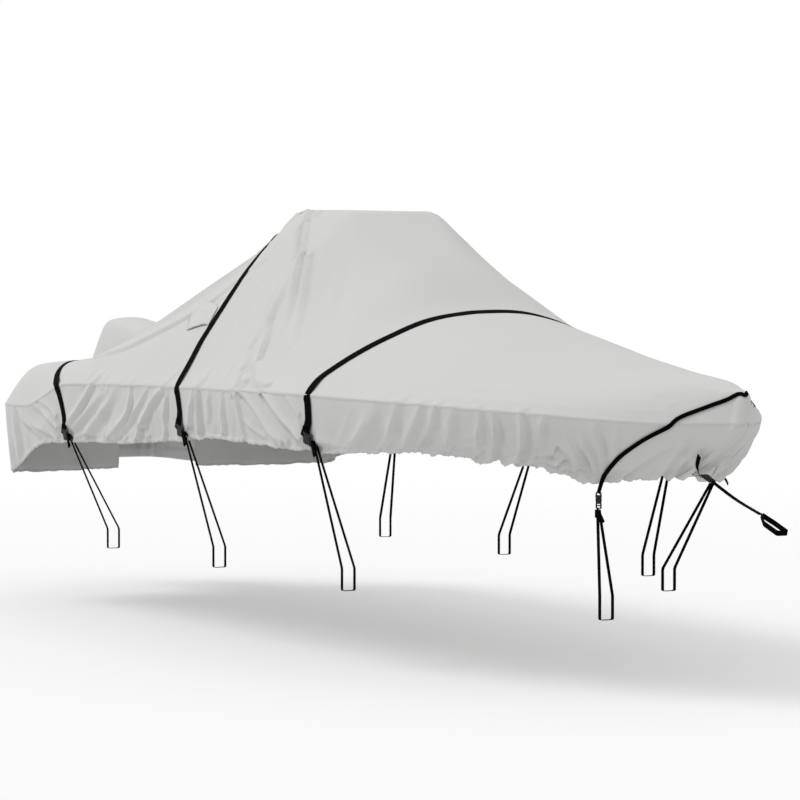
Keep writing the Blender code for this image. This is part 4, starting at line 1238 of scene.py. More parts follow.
    def skirt(self, side: Side) -> None:
        """One skirt, from beside the hood round the aft corner to the bow, with its gathered hem."""
        which = 0 if side is Side.STARBOARD else 1
        edge = self.shape.edge_chain(side, self.skirt_steps[which])
        run = run_of(edge)
        rows = self.skirt_rows[which]
        even = np.linspace(0.0, 1.0, rows)
        share = np.concatenate([[-self.tucked_under], 1 - (1 - even) ** self.hem_crowding])
        smooth = self.shape.skirt(edge, share)
        normals = facing(grid_normals(smooth), self.outward(edge, side)[:, None, :])
        upper = self.edge_normals(edge[:, 0], side)[:, None, :]
        drop = np.abs(smooth[:, -1, 2] - smooth[:, 0, 2])
        blend = np.exp(-np.clip(share, 0, 1)[None, :] * drop[:, None] / self.round_reach)[..., None]
        normals = unit(normals * (1 - blend) + upper * blend)
        x = np.repeat(edge[:, :1], len(share), axis=1)
        lengths = np.repeat(run[:, None], len(share), axis=1)
        down = np.repeat(share[None, :], len(edge), axis=0)
        drops = np.repeat(drop[:, None], len(share), axis=1)
        flat = smooth.reshape(-1, 3)
        height = self.drape.skirt_height(flat, x.ravel(), lengths.ravel(), down.ravel(), drops.ravel())
        height = height.reshape(x.shape)
        fade = soft_step(0.0, 0.05, run)[:, None] * (1 - soft_step(run[-1] - 0.05, run[-1], run))[:, None]
        height = height * fade
        places = smooth + normals * height[..., None]
        near_hem = soft_step(0.55, 1.0, down)
        places[..., 2] += near_hem * self.drape.hem_jitter(lengths) * fade
        places[np.abs(smooth[..., 1]) < 1e-6, 1] = 0.0
        cut = SKIRT_CUTS[side]
        piece = cloth_grid(cut.node, places, height, flip=side is Side.STARBOARD)
        cut.finish(piece.finish(self.finishes.cloth), self.shape.cloth)

    def build(self) -> None:
        """All four panels."""
        self.top_panel()
        self.aft_panel()
        for side in Side:
            self.skirt(side)


@dataclass(frozen=True)
class Ring:
    """A rounded rectangle round the hood: half width, front and back ends and corner."""

    half: float
    front: float
    back: float
    corner: float

    def around(self, share: np.ndarray) -> np.ndarray:
        """Places round it, from the middle of its front."""
        angle = share * 2 * math.pi
        power = 2.0 / (2.0 + 6.0 * (1 - self.corner / self.half))
        cosine, sine = np.cos(angle), np.sin(angle)
        way = np.copysign(np.abs(cosine) ** power, cosine)
        x = (self.front + self.back) / 2 + (self.front - self.back) / 2 * way
        y = self.half * np.copysign(np.abs(sine) ** power, sine)
        return np.stack([x, y], axis=-1)


@dataclass
class AftHood:
    """The tall hood at the aft end: a smooth crown, and a band that hangs below it in upright folds."""

    shape: CoverShape
    finishes: Finishes
    crown: Ring = Ring(0.130, -2.56, -3.20, 0.08)
    base: Ring = Ring(0.2430, -2.332, -3.29, 0.07)
    crown_front_z: float = -0.662
    crown_back_z: float = -0.606
    top_z: float = -0.600
    dome_rise: float = 0.024
    hem_z: float = -1.430
    waist_z: float = -1.000
    middle_z: float = -1.1
    fullness: float = 0.75
    seam_level: float = 0.30
    seam_lap: float = 0.006
    around: int = 150
    fold_height: float = 0.026
    fold_count: int = 23
    broad_height: float = 0.010
    slack_height: float = 0.006
    band_proud: float = 0.0015
    seam_groove: float = 0.0040
    under_cover: float = 0.004
    pair_half: float = 0.0004
    pair_clear: float = 0.002

    def shares(self) -> np.ndarray:
        """Shares of the way round, with a pair of columns just before and behind the cover's aft end."""
        share = np.linspace(0.0, 1.0, self.around + 1)
        fine = np.linspace(0.0, 0.5, 4001)
        end = np.interp(-self.shape.aft_x, -self.base.around(fine)[:, 0], fine)
        near = [place + step for place in (end, 1 - end) for step in (-self.pair_half, self.pair_half)]
        share = share[np.min([np.abs(share - place) for place in near], axis=0) > self.pair_clear]
        return np.sort(np.concatenate([share, near]))

    def wall(self, levels: np.ndarray) -> np.ndarray:
        """Smooth places on the hood's wall."""
        turned = np.repeat(self.shares()[None], len(levels), axis=0)
        crown, base = self.crown.around(turned), self.base.around(turned)
        forward = (crown[..., 0] - self.crown.back) / (self.crown.front - self.crown.back)
        crown_z = self.crown_back_z * (1 - forward) + self.crown_front_z * forward
        on_cover = self.shape.height(np.maximum(base[..., 0], self.shape.aft_x), base[..., 1])
        beside = base[..., 0] > self.shape.aft_x
        base_z = np.where(beside, on_cover - self.under_cover, self.hem_z)
        level = levels[:, None]
        z = crown_z * (1 - level) + base_z * level
        waist = np.maximum(self.waist_z, base_z)
        spread = np.minimum((crown_z - z) / (crown_z - waist), 1.0) ** self.fullness
        level_place = crown * (1 - spread[..., None]) + base * spread[..., None]
        return np.concatenate([level_place, z[..., None]], axis=-1)

    def folds(self, level: np.ndarray) -> np.ndarray:
        """Heights of the upright folds round the wall, growing below the seam."""
        share = self.shares()
        ring = np.minimum(share, 1 - share) * self.fold_count * 2
        side = np.where(share > 0.5, 77.0, 3.0)
        across, along = ring[None, :] + 0.6 * level[:, None], side[None, :] + 0.8 * level[:, None]
        sharp = crests(across, along, Seed.HOOD_FOLDS) ** 1.6
        broad = soft_noise(ring[None, :] / 3.0, side[None, :], Seed.HOOD_BROAD) - 0.5
        grow = soft_step(self.seam_level - 0.04, self.seam_level + 0.25, level)[:, None]
        ends = (soft_step(0.0, 0.02, share) * (1 - soft_step(0.98, 1.0, share)))[None, :]
        large = self.broad_height * broad * (0.3 + 0.7 * grow)
        return ends * (self.fold_height * (sharp - 0.3) * grow + large)

    def crown_cloth(self, levels: np.ndarray) -> None:
        """The crown: the dome and the top of the wall, down to the seam."""
        wall = self.wall(levels)
        centre_x = (self.crown.front + self.crown.back) / 2
        edge = wall[0]
        dome = []
        for share in np.linspace(0.0, 1.0, 14)[:-1]:
            ring = np.array([centre_x, 0.0, 0.0]) * (1 - share) + edge * share
            lift = self.dome_rise * (1 - share ** 3)
            ring[:, 2] = self.top_z * (1 - share) ** 1.4 + (1 - (1 - share) ** 1.4) * (edge[:, 2] + lift)
            dome.append(ring)
        places = relaxed(np.concatenate([np.array(dome), wall]), 2)
        normals = self.face_out(places, grid_normals(places))
        slack = soft_noise(places[..., 0] / 0.16, places[..., 1] / 0.12 + 9.0, Seed.HOOD_SLACK) - 0.5
        slack = self.slack_height * slack
        height = np.concatenate([slack[:13], slack[13:] + self.folds(levels)])
        places = places + normals * height[..., None]
        self.settled(places, height, CROWN_CUT)

    def band_cloth(self, levels: np.ndarray) -> None:
        """The band below the seam, down to the aft panel in front and to its hem behind."""
        wall = self.wall(levels)
        normals = self.face_out(wall, grid_normals(wall))
        height = self.folds(levels)
        height[levels > 0.93] *= 0.5
        height += self.band_proud
        height[0] -= self.seam_groove
        places = wall + normals * height[..., None]
        self.settled(places, height, BAND_CUT)

    def face_out(self, places: np.ndarray, normals: np.ndarray) -> np.ndarray:
        """Normals turned to point away from the hood's middle."""
        return facing(normals, places - np.array(self.middle()))

    def middle(self) -> Place:
        """A place inside the hood."""
        return (self.base.front + self.base.back) / 2, 0.0, self.middle_z

    def settled(self, places: np.ndarray, height: np.ndarray, cut: Cut) -> None:
        """A hood piece, closed round the hood, its faces turned outwards, and finished."""
        places[:, -1] = places[:, 0]
        made = cloth_grid(cut.node, places, height).finish(self.finishes.cloth)
        shape = bmesh.new()
        shape.from_mesh(made.data)
        centre = Vector(self.middle())
        outwards = sum((face.calc_center_median() - centre).dot(face.normal) for face in shape.faces)
        if outwards < 0:
            bmesh.ops.reverse_faces(shape, faces=shape.faces)
        shape.to_mesh(made.data)
        shape.free()
        cut.finish(made, self.shape.cloth)

    def build(self) -> None:
        """The crown and the band, which lap at the seam."""
        self.crown_cloth(np.linspace(0.0, self.seam_level + self.seam_lap, 16))
        self.band_cloth(np.linspace(self.seam_level - self.seam_lap, 1.0, 56))


@dataclass
class VentHood:
    """The small vent hood on the starboard slope: sewn down along its top and ends, its mouth open below."""

    shape: CoverShape
    drape: Drape
    finishes: Finishes
    mouth: tuple[tuple[float, float], tuple[float, float]] = ((-0.510, 0.812), (-0.255, 0.838))
    top: tuple[tuple[float, float], ...] = ((-0.640, 0.730), (-0.615, 0.670), (-0.320, 0.780))
    bulge: float = 0.0100
    lift: float = 0.0045
    turned_hem: float = 0.0012
    fold_height: float = 0.0022
    crumple: float = 0.0030
    across: int = 40
    up: int = 26

    def build(self) -> None:
        """The hood's cloth, with a turned hem along its mouth."""
        share, rise = np.meshgrid(np.linspace(0, 1, self.across + 1), np.linspace(0, 1, self.up + 1))
        mouth = np.array(self.mouth[0]) + share[..., None] * (np.array(self.mouth[1]) - self.mouth[0])
        top = np.stack([np.interp(share, (0.0, 0.12, 1.0), column) for column in zip(*self.top)], axis=-1)
        place = mouth * (1 - rise[..., None]) + top * rise[..., None]
        x, girth = place[..., 0].ravel(), -place[..., 1].ravel()
        smooth = self.shape.chart(x, girth).reshape(share.shape + (3,))
        normals = self.shape.chart_normals(x, girth).reshape(share.shape + (3,))
        arch = np.sin(math.pi * np.clip(share, 0, 1)) ** 0.75
        fold = np.exp(-((rise - 0.52 - 0.05 * share) / 0.035) ** 2)
        height = self.bulge * (0.45 + 0.55 * soft_step(0.0, 0.30, rise)) * (1 - rise ** 4) * arch
        height = self.lift + height
        hem = np.clip(rise / 0.10, 0.0, 1.0)
        height += self.turned_hem * np.sin(math.pi * hem) + self.fold_height * fold * arch
        height += self.crumple * (crests(share * 5, rise * 4, Seed.VENT) - 0.5) * arch
        places = smooth + normals * height[..., None]
        piece = PieceMesh("vent_hood_cloth")
        rim = np.minimum(np.minimum(share, 1 - share) * 1.6, np.minimum(rise, 1 - rise))
        # Painted shade: the crest value darkens the vent's rim and the fold across it, standing in for the
        # shade under its edges.
        crest = np.where(rim < 0.035, 0.06, np.where(rim < 0.06, 0.30, 0.55)) - 0.15 * fold
        piece.add_grid(places, grid_lengths(places), crest, flip=True)
        VENT_CUT.finish(piece.finish(self.finishes.cloth), self.shape.cloth)


# ---- Webbing and buckles ----


@dataclass(frozen=True)
class Frame3:
    """A buckle's place: its middle, the way down its length and the way out of its front."""

    middle: np.ndarray
    down: np.ndarray
    outward: np.ndarray

    @property
    def across(self) -> np.ndarray:
        """The direction across the buckle."""
        return np.cross(self.down, self.outward)


def frame_of(node: bpy.types.Object, outward: np.ndarray) -> Frame3:
    """A buckle's place from the frame's node, whose longest way is its length and shortest its thickness."""
    points = np.array([vert.co for vert in node.data.vertices])
    middle = (points.max(axis=0) + points.min(axis=0)) / 2
    spread = np.linalg.svd(points - points.mean(axis=0), full_matrices=False)[2]
    down, out = spread[0], spread[2]
    down = down if down[2] < 0 else -down
    out = out if out @ outward > 0 else -out
    return Frame3(middle, down, out)


@dataclass(frozen=True)
class Webbing:
    """Flat woven webbing of one width."""

    width: float = 0.025
    thickness: float = 0.0018

    def ring(self) -> np.ndarray:
        """Its section: (across, out) places round a flat band with rounded edges."""
        half, deep = self.width / 2, self.thickness / 2
        inner = half - deep
        upper = [(-half, 0.0), (-half + 0.35 * deep, 0.75 * deep), (-inner, deep),
                 (-inner * 0.5, deep * 1.1), (0.0, deep * 1.0), (inner * 0.5, deep * 1.1),
                 (inner, deep), (half - 0.35 * deep, 0.75 * deep)]
        lower = [(-across, -out) for across, out in upper]
        return np.array(upper + lower)

    def band(self, piece: PieceMesh, route: np.ndarray, normals: np.ndarray) -> None:
        """Adds a closed band along a route, its face to one direction or to one a place."""
        along = unit(np.gradient(route, axis=0))
        across = unit(np.cross(along, normals))
        out = np.cross(across, along)
        ring = self.ring()
        ring = np.concatenate([ring, ring[:1]])
        grid = route[:, None] + across[:, None] * ring[None, :, :1] + out[:, None] * ring[None, :, 1:]
        uv = np.stack(np.broadcast_arrays(run_of(ring)[None, :], run_of(route)[:, None]), axis=-1)
        piece.add_grid(grid, uv)
        for end in (0, -1):
            cap = np.stack([grid[end], np.repeat(route[end][None], len(ring), axis=0)])
            piece.add_grid(cap, np.zeros(cap.shape[:2] + (2,)), flip=end == 0)


def route_normals(route: np.ndarray, across: np.ndarray) -> np.ndarray:
    """Face directions of a band whose width stays along one direction."""
    return unit(np.cross(unit(np.gradient(route, axis=0)), across))


def webbing_piece(piece: PieceMesh, node: str, finishes: Finishes) -> None:
    """Finishes and settles a piece of webbing."""
    settle(piece.finish(finishes.webbing), Slot.WEBBING, node)


@dataclass
class OverStraps:
    """The four straps over the cover, with a buckle, a loop and a free tail at each end of each."""

    shape: CoverShape
    drape: Drape
    finishes: Finishes
    nodes: dict[str, bpy.types.Object]
    webbing: Webbing = Webbing()
    lift: float = 0.0022
    buckle_length: float = 0.075
    bar_inset: float = 0.005
    loop_half: float = 0.033
    loop_leg: float = 0.105
    loop_apart: float = 0.004
    loop_gap: float = 0.0025
    neck: float = 0.016
    tail_length: float = 0.084
    tail_clear: float = 0.013
    fold_back: float = 0.052
    fold_proud: float = 0.0024
    keeper_length: float = 0.036
    keeper_depths: tuple[float, float] = (0.0085, 0.0112)
    loop_corner: float = 0.009
    cling: float = 0.0012
    stand_off: float = 0.0050
    bottoms: tuple[tuple[Place, Place], ...] = (
        ((-1.40, -0.83, -1.806), (-1.40, 0.83, -1.806)),
        ((-0.05, -0.83, -1.806), (-0.05, 0.83, -1.806)),
        ((1.38, -0.83, -1.806), (1.38, 0.83, -1.806)),
        ((2.82, -0.29, -1.840), (2.15, 0.46, -1.800)),
    )

    def surface_line(self, number: int) -> tuple[np.ndarray, np.ndarray]:
        """A strap's places on the folded cloth and its face directions."""
        rows = self.drape.strap_places[number]
        base = self.drape.strap_points[number]
        normals = relaxed_units(self.shape.chart_normals(rows[:, 0], rows[:, 1]), 4)
        along = unit(np.gradient(base, axis=0))
        across = np.cross(along, normals)
        highest = np.full(len(base), -1.0)
        half = STRAP_ROUTES[number].width / 2
        for offset in (-half, -half / 2, 0.0, half / 2, half):
            places = base + across * offset
            height = self.drape.press(places, self.drape.creases(places))
            highest = np.maximum(highest, height)
        low = np.clip(np.abs(rows[:, 1]) - 1.0, 0.0, 1.0)
        over_edge = self.stand_off * np.exp(-((np.abs(rows[:, 1]) - 1.0) / 0.06) ** 2)
        highest = np.maximum(highest, 0.0) + self.cling + self.stand_off * low + over_edge
        for _ in range(6):
            highest[1:-1] = np.maximum(highest[1:-1], (highest[:-2] + highest[2:]) / 2)
            highest = relaxed(highest, 1)
        return base + normals * (highest + self.lift)[:, None], normals

    def strap(self, number: int) -> None:
        """One over-strap, from one buckle's upper bar over the cover to the other's."""
        route, normals = self.surface_line(number)
        ends = []
        for side in Side:
            frame = self.buckle_frame(number, side)
            bar = frame.middle - frame.down * (self.buckle_length / 2 - self.bar_inset)
            ends.append((bar, frame.outward))
        route = np.concatenate([[ends[0][0]], route[2:-2], [ends[1][0]]])
        normals = np.concatenate([[ends[0][1]], normals[2:-2], [ends[1][1]]])
        route = relaxed(route, 2, 4)
        normals = relaxed_units(normals, 2)
        piece = PieceMesh(f"strap_{number + 1}_webbing")
        webbing = Webbing(STRAP_ROUTES[number].width)
        webbing.band(piece, route, normals)
        for bar, outward in ends:
            self.folded_end(piece, webbing, bar, route, outward)
        webbing_piece(piece, f"strap_{number + 1}", self.finishes)

    def folded_end(self, piece: PieceMesh, webbing: Webbing, bar: np.ndarray, route: np.ndarray,
                   outward: np.ndarray) -> None:
        """The strap's end, folded back over itself above the bar and sewn down."""
        line = route if np.linalg.norm(route[0] - bar) < 1e-6 else route[::-1]
        back = along_line(line, np.linspace(0.0, self.fold_back, 6)) + outward * self.fold_proud
        webbing.band(piece, back, outward)

    def buckle_frame(self, number: int, side: Side) -> Frame3:
        """The place of one side buckle."""
        return frame_of(self.nodes[sided("buckle", number, side)], np.array([0.0, side.value, 0.0]))

    def foot(self, frame: Frame3) -> np.ndarray:
        """Where the lower webbing leaves a buckle."""
        return frame.middle + frame.down * (self.buckle_length / 2 + self.loop_gap)

    def loop(self, number: int, side: Side) -> None:
        """The lower webbing: two legs down to a flat bottom, and the folded keeper at their top."""
        frame = self.buckle_frame(number, side)
        bottom = np.array(self.bottoms[number][0 if side is Side.STARBOARD else 1])
        foot = self.foot(frame)
        neck = foot + frame.down * self.neck
        apart = np.array([0.0, side.value * self.loop_apart, 0.0])
        reach = np.array([0.0, side.value * self.loop_half, 0.0])
        tall = np.array([0.0, 0.0, self.loop_leg])
        corners = [foot + apart, neck + apart * 1.3, bottom + reach + tall, bottom + reach, bottom - reach,
                   bottom - reach + tall, neck - apart * 1.3, foot - apart]
        route = rounded_route(corners, self.loop_corner)
        spans = [resampled(route[at:at + 2], 0.03)[:-1] for at in range(len(route) - 1)]
        route = np.concatenate(spans + [route[-1:]])
        normals = route_normals(route, np.array([float(-side.value), 0.0, 0.0]))
        name = sided("loop", number, side)
        piece = PieceMesh(f"{name}_webbing")
        self.webbing.band(piece, route, normals)
        for deep in self.keeper_depths:
            keeper = np.linspace(foot, foot + frame.down * self.keeper_length, 5) + frame.outward * deep
            self.webbing.band(piece, keeper, frame.outward)
        webbing_piece(piece, name, self.finishes)

    def tail(self, number: int, side: Side) -> None:
        """A free tail that points forward and down, a little curled."""
        frame = self.buckle_frame(number, side)
        foot = self.foot(frame)
        outward = frame.outward
        route = []
        for share in np.linspace(0.0, 1.0, 9):
            reach = self.tail_length * share
            bend = 0.006 * math.sin(math.pi * share)
            clear = outward * (self.tail_clear + 0.1 * reach + 0.4 * bend)
            route.append(foot + clear + np.array([reach * 0.75, 0.0, -reach * 0.65 + bend]))
        route = np.array(route)
        twist = np.linspace(0.0, 0.35, len(route))[:, None]
        normals = unit(outward * (1 - twist) + np.array([0.2, side.value * 0.5, 0.8]) * twist)
        name = sided("tail", number, side)
        piece = PieceMesh(f"{name}_webbing")
        self.webbing.band(piece, route, normals)
        fold = route[-3:] + normals[-3:] * 0.0021
        self.webbing.band(piece, fold, normals[-3:])
        webbing_piece(piece, name, self.finishes)

    def build(self) -> None:
        """Every strap, loop and tail."""
        for number in range(len(STRAP_ROUTES)):
            self.strap(number)
            for side in Side:
                self.loop(number, side)
                self.tail(number, side)


@dataclass
class SideReleaseBuckle:
    """A moulded side-release buckle: housing, prongs, tongue and ladder bars, all bevelled."""

    finishes: Finishes
    length: float = 0.075
    width: float = 0.038
    thick: float = 0.011
    bevel: float = 0.0014

    # Blocks by (across, out, up) middle and size, as shares of width, thickness and length.
    BLOCKS = (
        ((0.00, 0.00, 0.255), (0.98, 0.96, 0.130)),
        ((0.00, 0.00, 0.130), (0.62, 0.90, 0.200)),
        ((0.00, 0.00, 0.010), (0.94, 0.94, 0.090)),
        ((-0.41, 0.00, 0.120), (0.14, 0.66, 0.190)),
        ((0.41, 0.00, 0.120), (0.14, 0.66, 0.190)),
        ((0.00, 0.00, -0.120), (0.90, 0.74, 0.170)),
        ((-0.42, 0.00, 0.390), (0.13, 0.62, 0.180)),
        ((0.42, 0.00, 0.390), (0.13, 0.62, 0.180)),
        ((0.00, 0.00, 0.455), (0.94, 0.50, 0.062)),
        ((-0.42, 0.00, -0.330), (0.13, 0.66, 0.290)),
        ((0.42, 0.00, -0.330), (0.13, 0.66, 0.290)),
        ((0.00, 0.05, -0.300), (0.90, 0.46, 0.070)),
        ((0.00, -0.05, -0.455), (0.94, 0.50, 0.062)),
        ((0.00, 0.46, 0.130), (0.20, 0.10, 0.150)),
    )

    def block(self, shape: bmesh.types.BMesh, middle: tuple[float, ...], size: tuple[float, ...]) -> None:
        """Adds one bevelled block."""
        whole = Vector((self.width, self.thick, self.length))
        made = bmesh.ops.create_cube(shape, size=1.0)["verts"]
        bmesh.ops.scale(shape, verts=made, vec=Vector(size) * whole)
        bmesh.ops.translate(shape, verts=made, vec=Vector(middle) * whole)
        edges = list({edge for vert in made for edge in vert.link_edges})
        least = min(size[0] * self.width, size[1] * self.thick, size[2] * self.length)
        bmesh.ops.bevel(shape, geom=edges, offset=min(self.bevel, 0.3 * least), segments=2, profile=0.6,
                        affect="EDGES")

    def build(self, node: str, frame: Frame3) -> None:
        """A buckle at its place."""
        shape = bmesh.new()
        for middle, size in self.BLOCKS:
            self.block(shape, middle, size)
        turned = Matrix((Vector(frame.across), Vector(frame.outward), Vector(-frame.down))).transposed()
        bmesh.ops.recalc_face_normals(shape, faces=shape.faces)
        shape.transform(Matrix.Translation(Vector(frame.middle)) @ turned.to_4x4())
        if turned.determinant() < 0:
            bmesh.ops.reverse_faces(shape, faces=shape.faces)
        for face in shape.faces:
            face.smooth = face.calc_area() < 4e-6
        mesh = bpy.data.meshes.new(f"{node}_moulded")
        shape.to_mesh(mesh)
        shape.free()
        mesh.materials.append(self.finishes.plastic)
        settle(placed(mesh.name, mesh), Slot.PLASTIC, node)


@dataclass
class BowStrap:
    """The strap at the bow end: a tab on the hem, a buckle with its free tail, a strap and its loop."""

    finishes: Finishes
    nodes: dict[str, bpy.types.Object]
    webbing: Webbing = Webbing()
    hem_tip: Place = (3.045, 0.0, -1.196)
    end: Place = (3.605, 0.0, -1.335)
    loop_near: Place = (3.666, 0.027, -1.368)
    loop_far: Place = (3.767, 0.027, -1.402)
    half_buckle: float = 0.0375
    loop_corner: float = 0.008
    sag: float = 0.008
    tail_places: tuple[Place, ...] = (
        (3.178, -0.034, -1.190), (3.225, -0.076, -1.165), (3.264, -0.103, -1.135), (3.310, -0.122, -1.095))
    TAIL_OUT = np.array([0.45, -0.85, 0.2])

    def piece(self, node: str, route: np.ndarray, normals: np.ndarray) -> None:
        """One band of the bow strap as a finished piece, by its places and its face's direction."""
        mesh = PieceMesh(f"{node}_webbing")
        self.webbing.band(mesh, route, normals)
        webbing_piece(mesh, node, self.finishes)

    def build(self) -> None:
        """The tab, strap, tail, loop and buckle."""
        frame = frame_of(self.nodes["bow_buckle"], np.array([0.3, 0.0, 1.0]))
        reach = frame.down * self.half_buckle
        up = frame.outward
        under_hem = np.array(self.hem_tip) + (-0.020, 0.0, -0.008)
        tab = resampled(np.array([under_hem, frame.middle - reach * 0.85]), 0.02)
        start, end = frame.middle + reach * 0.85, np.array(self.end)
        strap = smooth_route(np.array([start, (start + end) / 2 + DOWN * self.sag, end]), 10)
        tail = smooth_route(np.array(self.tail_places), 6)
        leave = end + (0.004, 0.0, -0.002)
        mirrored = np.array([1.0, -1.0, 1.0])
        near, far = np.array(self.loop_near), np.array(self.loop_far)
        corners = [leave + (0.0, -0.003, 0.0), near * mirrored, far * mirrored, far, near,
                   leave + (0.0, 0.003, 0.0)]
        loop = rounded_route(corners, self.loop_corner)
        run = far - near
        across = unit(np.array([-run[2], 0.0, run[0]]))
        self.piece("bow_tab", tab, up)
        self.piece("bow_strap", strap, up)
        self.piece("bow_tail", tail, unit(self.TAIL_OUT))
        self.piece("bow_loop", loop, route_normals(loop, across))
        SideReleaseBuckle(self.finishes).build("bow_buckle", frame)


# ---- Stitches, by Geometry Nodes ----


class StitchRows:
    """Rows of sewn stitches along seams, made by one node tree with named sizes."""

    SIZES = (("Pitch", 0.010), ("Stitch Length", 0.0075), ("Thread", 0.0014))

    def __init__(self) -> None:
        """Builds the tree."""
        self.tree = bpy.data.node_groups.new("stitch_rows", "GeometryNodeTree")
        face = self.tree.interface
        face.new_socket(name="Seam", in_out="INPUT", socket_type="NodeSocketGeometry")
        self.sockets = {}
        kinds = [(name, "NodeSocketFloat") for name, _ in self.SIZES]
        for name, kind in kinds + [("Thread Material", "NodeSocketMaterial")]:
            self.sockets[name] = face.new_socket(name=name, in_out="INPUT", socket_type=kind).identifier
        face.new_socket(name="Stitches", in_out="OUTPUT", socket_type="NodeSocketGeometry")
        self.wire()

    def wire(self) -> None:
        """Joins the tree: seam to curve, evenly spaced points, a stitch on each, realized with its thread."""
        nodes = Nodes(self.tree)
        given = nodes.add("NodeGroupInput", {}).outputs
        curve = nodes.add("GeometryNodeMeshToCurve", {"Mesh": given["Seam"]}).outputs["Curve"]
        inputs = {"Curve": curve, "Length": given["Pitch"]}
        points = nodes.add("GeometryNodeCurveToPoints", inputs, mode="LENGTH").outputs
        stitch = nodes.add("GeometryNodeMeshIcoSphere", {"Radius": 0.5, "Subdivisions": 1}).outputs["Mesh"]
        inputs = {"X": given["Thread"], "Y": given["Thread"], "Z": given["Stitch Length"]}
        size = nodes.add("ShaderNodeCombineXYZ", inputs).outputs[0]
        inputs = {"Points": points["Points"], "Rotation": points["Rotation"],
                  "Instance": stitch, "Scale": size}
        rows = nodes.add("GeometryNodeInstanceOnPoints", inputs).outputs["Instances"]
        real = nodes.add("GeometryNodeRealizeInstances", {"Geometry": rows}).outputs["Geometry"]
        inputs = {"Geometry": real, "Material": given["Thread Material"]}
        dressed = nodes.add("GeometryNodeSetMaterial", inputs).outputs["Geometry"]
        nodes.add("NodeGroupOutput", {"Stitches": dressed})

    def sew(self, name: str, seams: list[np.ndarray], thread: bpy.types.Material) -> None:
        """Stitches along seams as one finished piece."""
        points, edges = [], []
        for seam in seams:
            first = len(points)
            points += seam.tolist()
            edges += [(first + step, first + step + 1) for step in range(len(seam) - 1)]
        mesh = bpy.data.meshes.new(name + "_seam")
        mesh.from_pydata(points, edges, [])
        source = placed(name + "_seam", mesh)
        rows = source.modifiers.new("stitches", "NODES")
        rows.node_group = self.tree
        for socket, value in self.SIZES:
            rows[self.sockets[socket]] = value
        rows[self.sockets["Thread Material"]] = thread
        graph = bpy.context.evaluated_depsgraph_get()
        made = bpy.data.meshes.new_from_object(source.evaluated_get(graph))
        made.name = name
        bpy.data.objects.remove(source)
        for polygon in made.polygons:
            polygon.use_smooth = True
        settle(placed(name, made), Slot.CLOTH)


@dataclass
class Seams:
    """Where the cover is sewn: along the edge line and the hips."""

    panels: CoverPanels
    finishes: Finishes
    proud: float = 0.0011
    below: float = 0.005
    apart: float = 0.006
    hip_offsets: tuple[float, float] = (0.012, 0.020)
    hip_proud: float = 0.0004

    def edge_seam(self, side: Side) -> list[np.ndarray]:
        """Two rows along the lap below the edge line."""
        shape, drape = self.panels.shape, self.panels.drape
        x = shape.stations(0.02, 12, 5)
        edge = shape.edge(x, side)
        stations, lengths = self.panels.edge_run(side)
        height = drape.top_height(edge, np.interp(x, stations, lengths), np.zeros_like(x))
        folded = edge + self.panels.edge_normals(x, side) * height[:, None]
        out = self.panels.outward(folded, side) * (self.panels.lap + self.proud)
        return [folded + out + DOWN * below for below in (self.below, self.below + self.apart)]

    def hip_seam(self, side: Side) -> list[np.ndarray]:
        """Two rows beside the aft panel's seam at the hip."""
        shape, drape = self.panels.shape, self.panels.drape
        x = np.arange(-2.60, shape.aft_panel_front, 0.02)
        stations, lengths = self.panels.edge_run(side)
        run = np.interp(x, stations, lengths)
        edge = shape.edge(x, side)
        rows = []
        for offset in self.hip_offsets:
            girth = np.full_like(x, side.value * (0.5 + offset))
            smooth = shape.top(x, girth)
            normals = shape.chart_normals(x, girth)
            height = drape.top_height(smooth, run, np.linalg.norm(smooth - edge, axis=1))
            rows.append(smooth + normals * (height + self.hip_proud)[:, None])
        return rows

    def build(self) -> None:
        """Every row of stitches."""
        rows = StitchRows()
        for side in Side:
            word = side.name.lower()
            rows.sew(f"edge_stitches_{word}", self.edge_seam(side), self.finishes.thread)
            rows.sew(f"hip_stitches_{word}", self.hip_seam(side), self.finishes.thread)


# ---- Studio ----


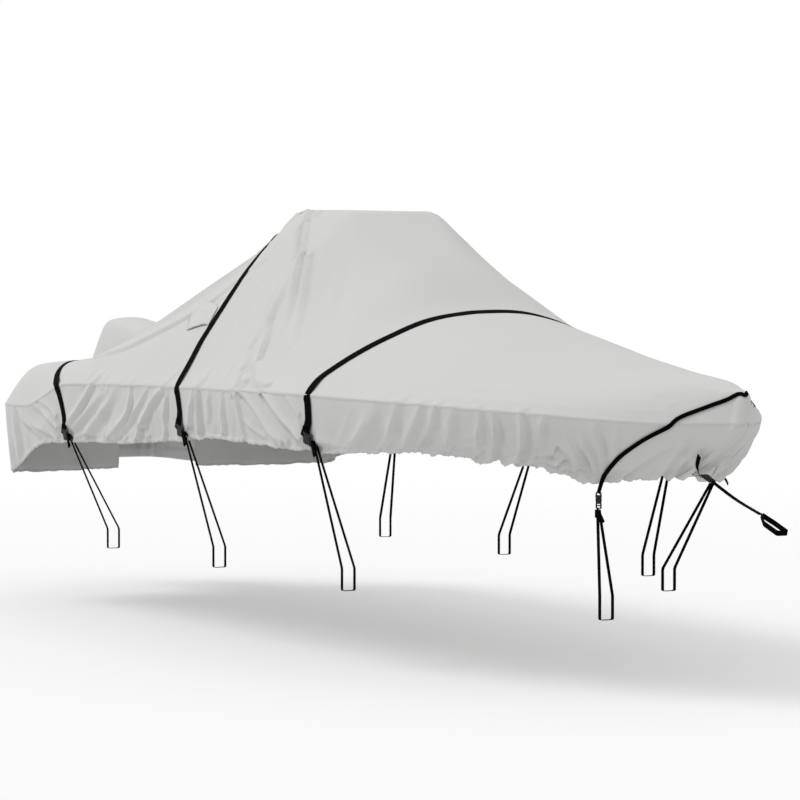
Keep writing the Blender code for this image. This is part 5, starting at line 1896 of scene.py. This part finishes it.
@dataclass
class Studio:
    """The camera, the floor and the light."""

    eye: Place = (15.985, -8.320, -0.262)
    azimuth_deg: float = 62.0
    focal_pixels: float = 3500.0
    frame_pixels: float = 800.0
    horizon_row: float = 262.0
    floor_z: float = -2.16
    floor_radius: float = 15.0
    sky_top: float = 0.80
    sky_low: float = 0.51
    sun_strength: float = 1.06
    sun_angle_deg: float = 30.0
    sun_from: Place = (-0.42, -0.46, 0.78)

    def camera(self) -> None:
        """The camera at the photograph's own viewing angle."""
        data = bpy.data.cameras.new("camera")
        data.sensor_width = 36.0
        data.lens = self.focal_pixels / self.frame_pixels * data.sensor_width
        data.clip_end = 400.0
        item = placed("camera", data)
        turn = math.radians(self.azimuth_deg)
        pitch = math.atan((self.frame_pixels / 2 - self.horizon_row) / self.focal_pixels)
        level = math.cos(pitch)
        look = Vector((-math.sin(turn) * level, math.cos(turn) * level, -math.sin(pitch)))
        item.location = self.eye
        item.rotation_euler = look.to_track_quat("-Z", "Y").to_euler()
        bpy.context.scene.camera = item

    def floor(self) -> None:
        """A round pale floor below the cover."""
        shape = bmesh.new()
        bmesh.ops.create_circle(shape, cap_ends=True, segments=96, radius=self.floor_radius)
        mesh = bpy.data.meshes.new("studio_floor")
        shape.to_mesh(mesh)
        shape.free()
        mesh.materials.append(FloorFinish().build())
        item = placed("studio_floor", mesh)
        item.location = (0.4, 0.0, self.floor_z)

    def surround(self) -> None:
        """A white surround that lights the cover softly, brighter from above."""
        world = bpy.data.worlds.new("surround")
        bpy.context.scene.world = world
        world.use_nodes = True
        world.node_tree.nodes.clear()
        nodes = Nodes(world.node_tree)
        place = nodes.add("ShaderNodeTexCoord", {}).outputs["Generated"]
        upward = nodes.add("ShaderNodeSeparateXYZ", {0: place}).outputs["Z"]
        inputs = {"Value": upward, "From Min": -0.4, "From Max": 0.9,
                  "To Min": self.sky_low, "To Max": self.sky_top}
        strength = nodes.add("ShaderNodeMapRange", inputs).outputs[0]
        soft = nodes.add("ShaderNodeBackground", {"Color": WHITE, "Strength": strength}).outputs[0]
        plain = nodes.add("ShaderNodeBackground", {"Color": WHITE}).outputs[0]
        seen = nodes.add("ShaderNodeLightPath", {}).outputs["Is Camera Ray"]
        mixed = nodes.add("ShaderNodeMixShader", {0: seen, 1: soft, 2: plain}).outputs[0]
        nodes.add("ShaderNodeOutputWorld", {"Surface": mixed})

    def lamp(self) -> None:
        """One broad soft light from above, aft and to starboard."""
        data = bpy.data.lights.new("soft_key", "SUN")
        data.energy = self.sun_strength
        data.angle = math.radians(self.sun_angle_deg)
        item = placed("soft_key", data)
        item.rotation_euler = Vector(self.sun_from).to_track_quat("Z", "Y").to_euler()

    def build(self) -> None:
        """Camera, floor and light, with colours shown as they are."""
        bpy.context.scene.view_settings.view_transform = "Standard"
        self.camera()
        self.floor()
        self.surround()
        self.lamp()


def main() -> None:
    """Builds the studio and every piece of the cover."""
    logging.basicConfig(level=logging.INFO, format="%(name)s %(message)s")
    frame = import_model()
    Studio().build()
    finishes = Finishes()
    shape = CoverShape()
    drape = Drape(shape)
    panels = CoverPanels(shape, drape, finishes)
    panels.build()
    AftHood(shape, finishes).build()
    VentHood(shape, drape, finishes).build()
    straps = OverStraps(shape, drape, finishes, frame["nodes"])
    straps.build()
    for number, route in enumerate(STRAP_ROUTES):
        buckle = SideReleaseBuckle(finishes, width=route.width + 0.012)
        for side in Side:
            buckle.build(sided("buckle", number, side), straps.buckle_frame(number, side))
    BowStrap(finishes, frame["nodes"]).build()
    Seams(panels, finishes).build()


if __name__ == "__main__":
    main()
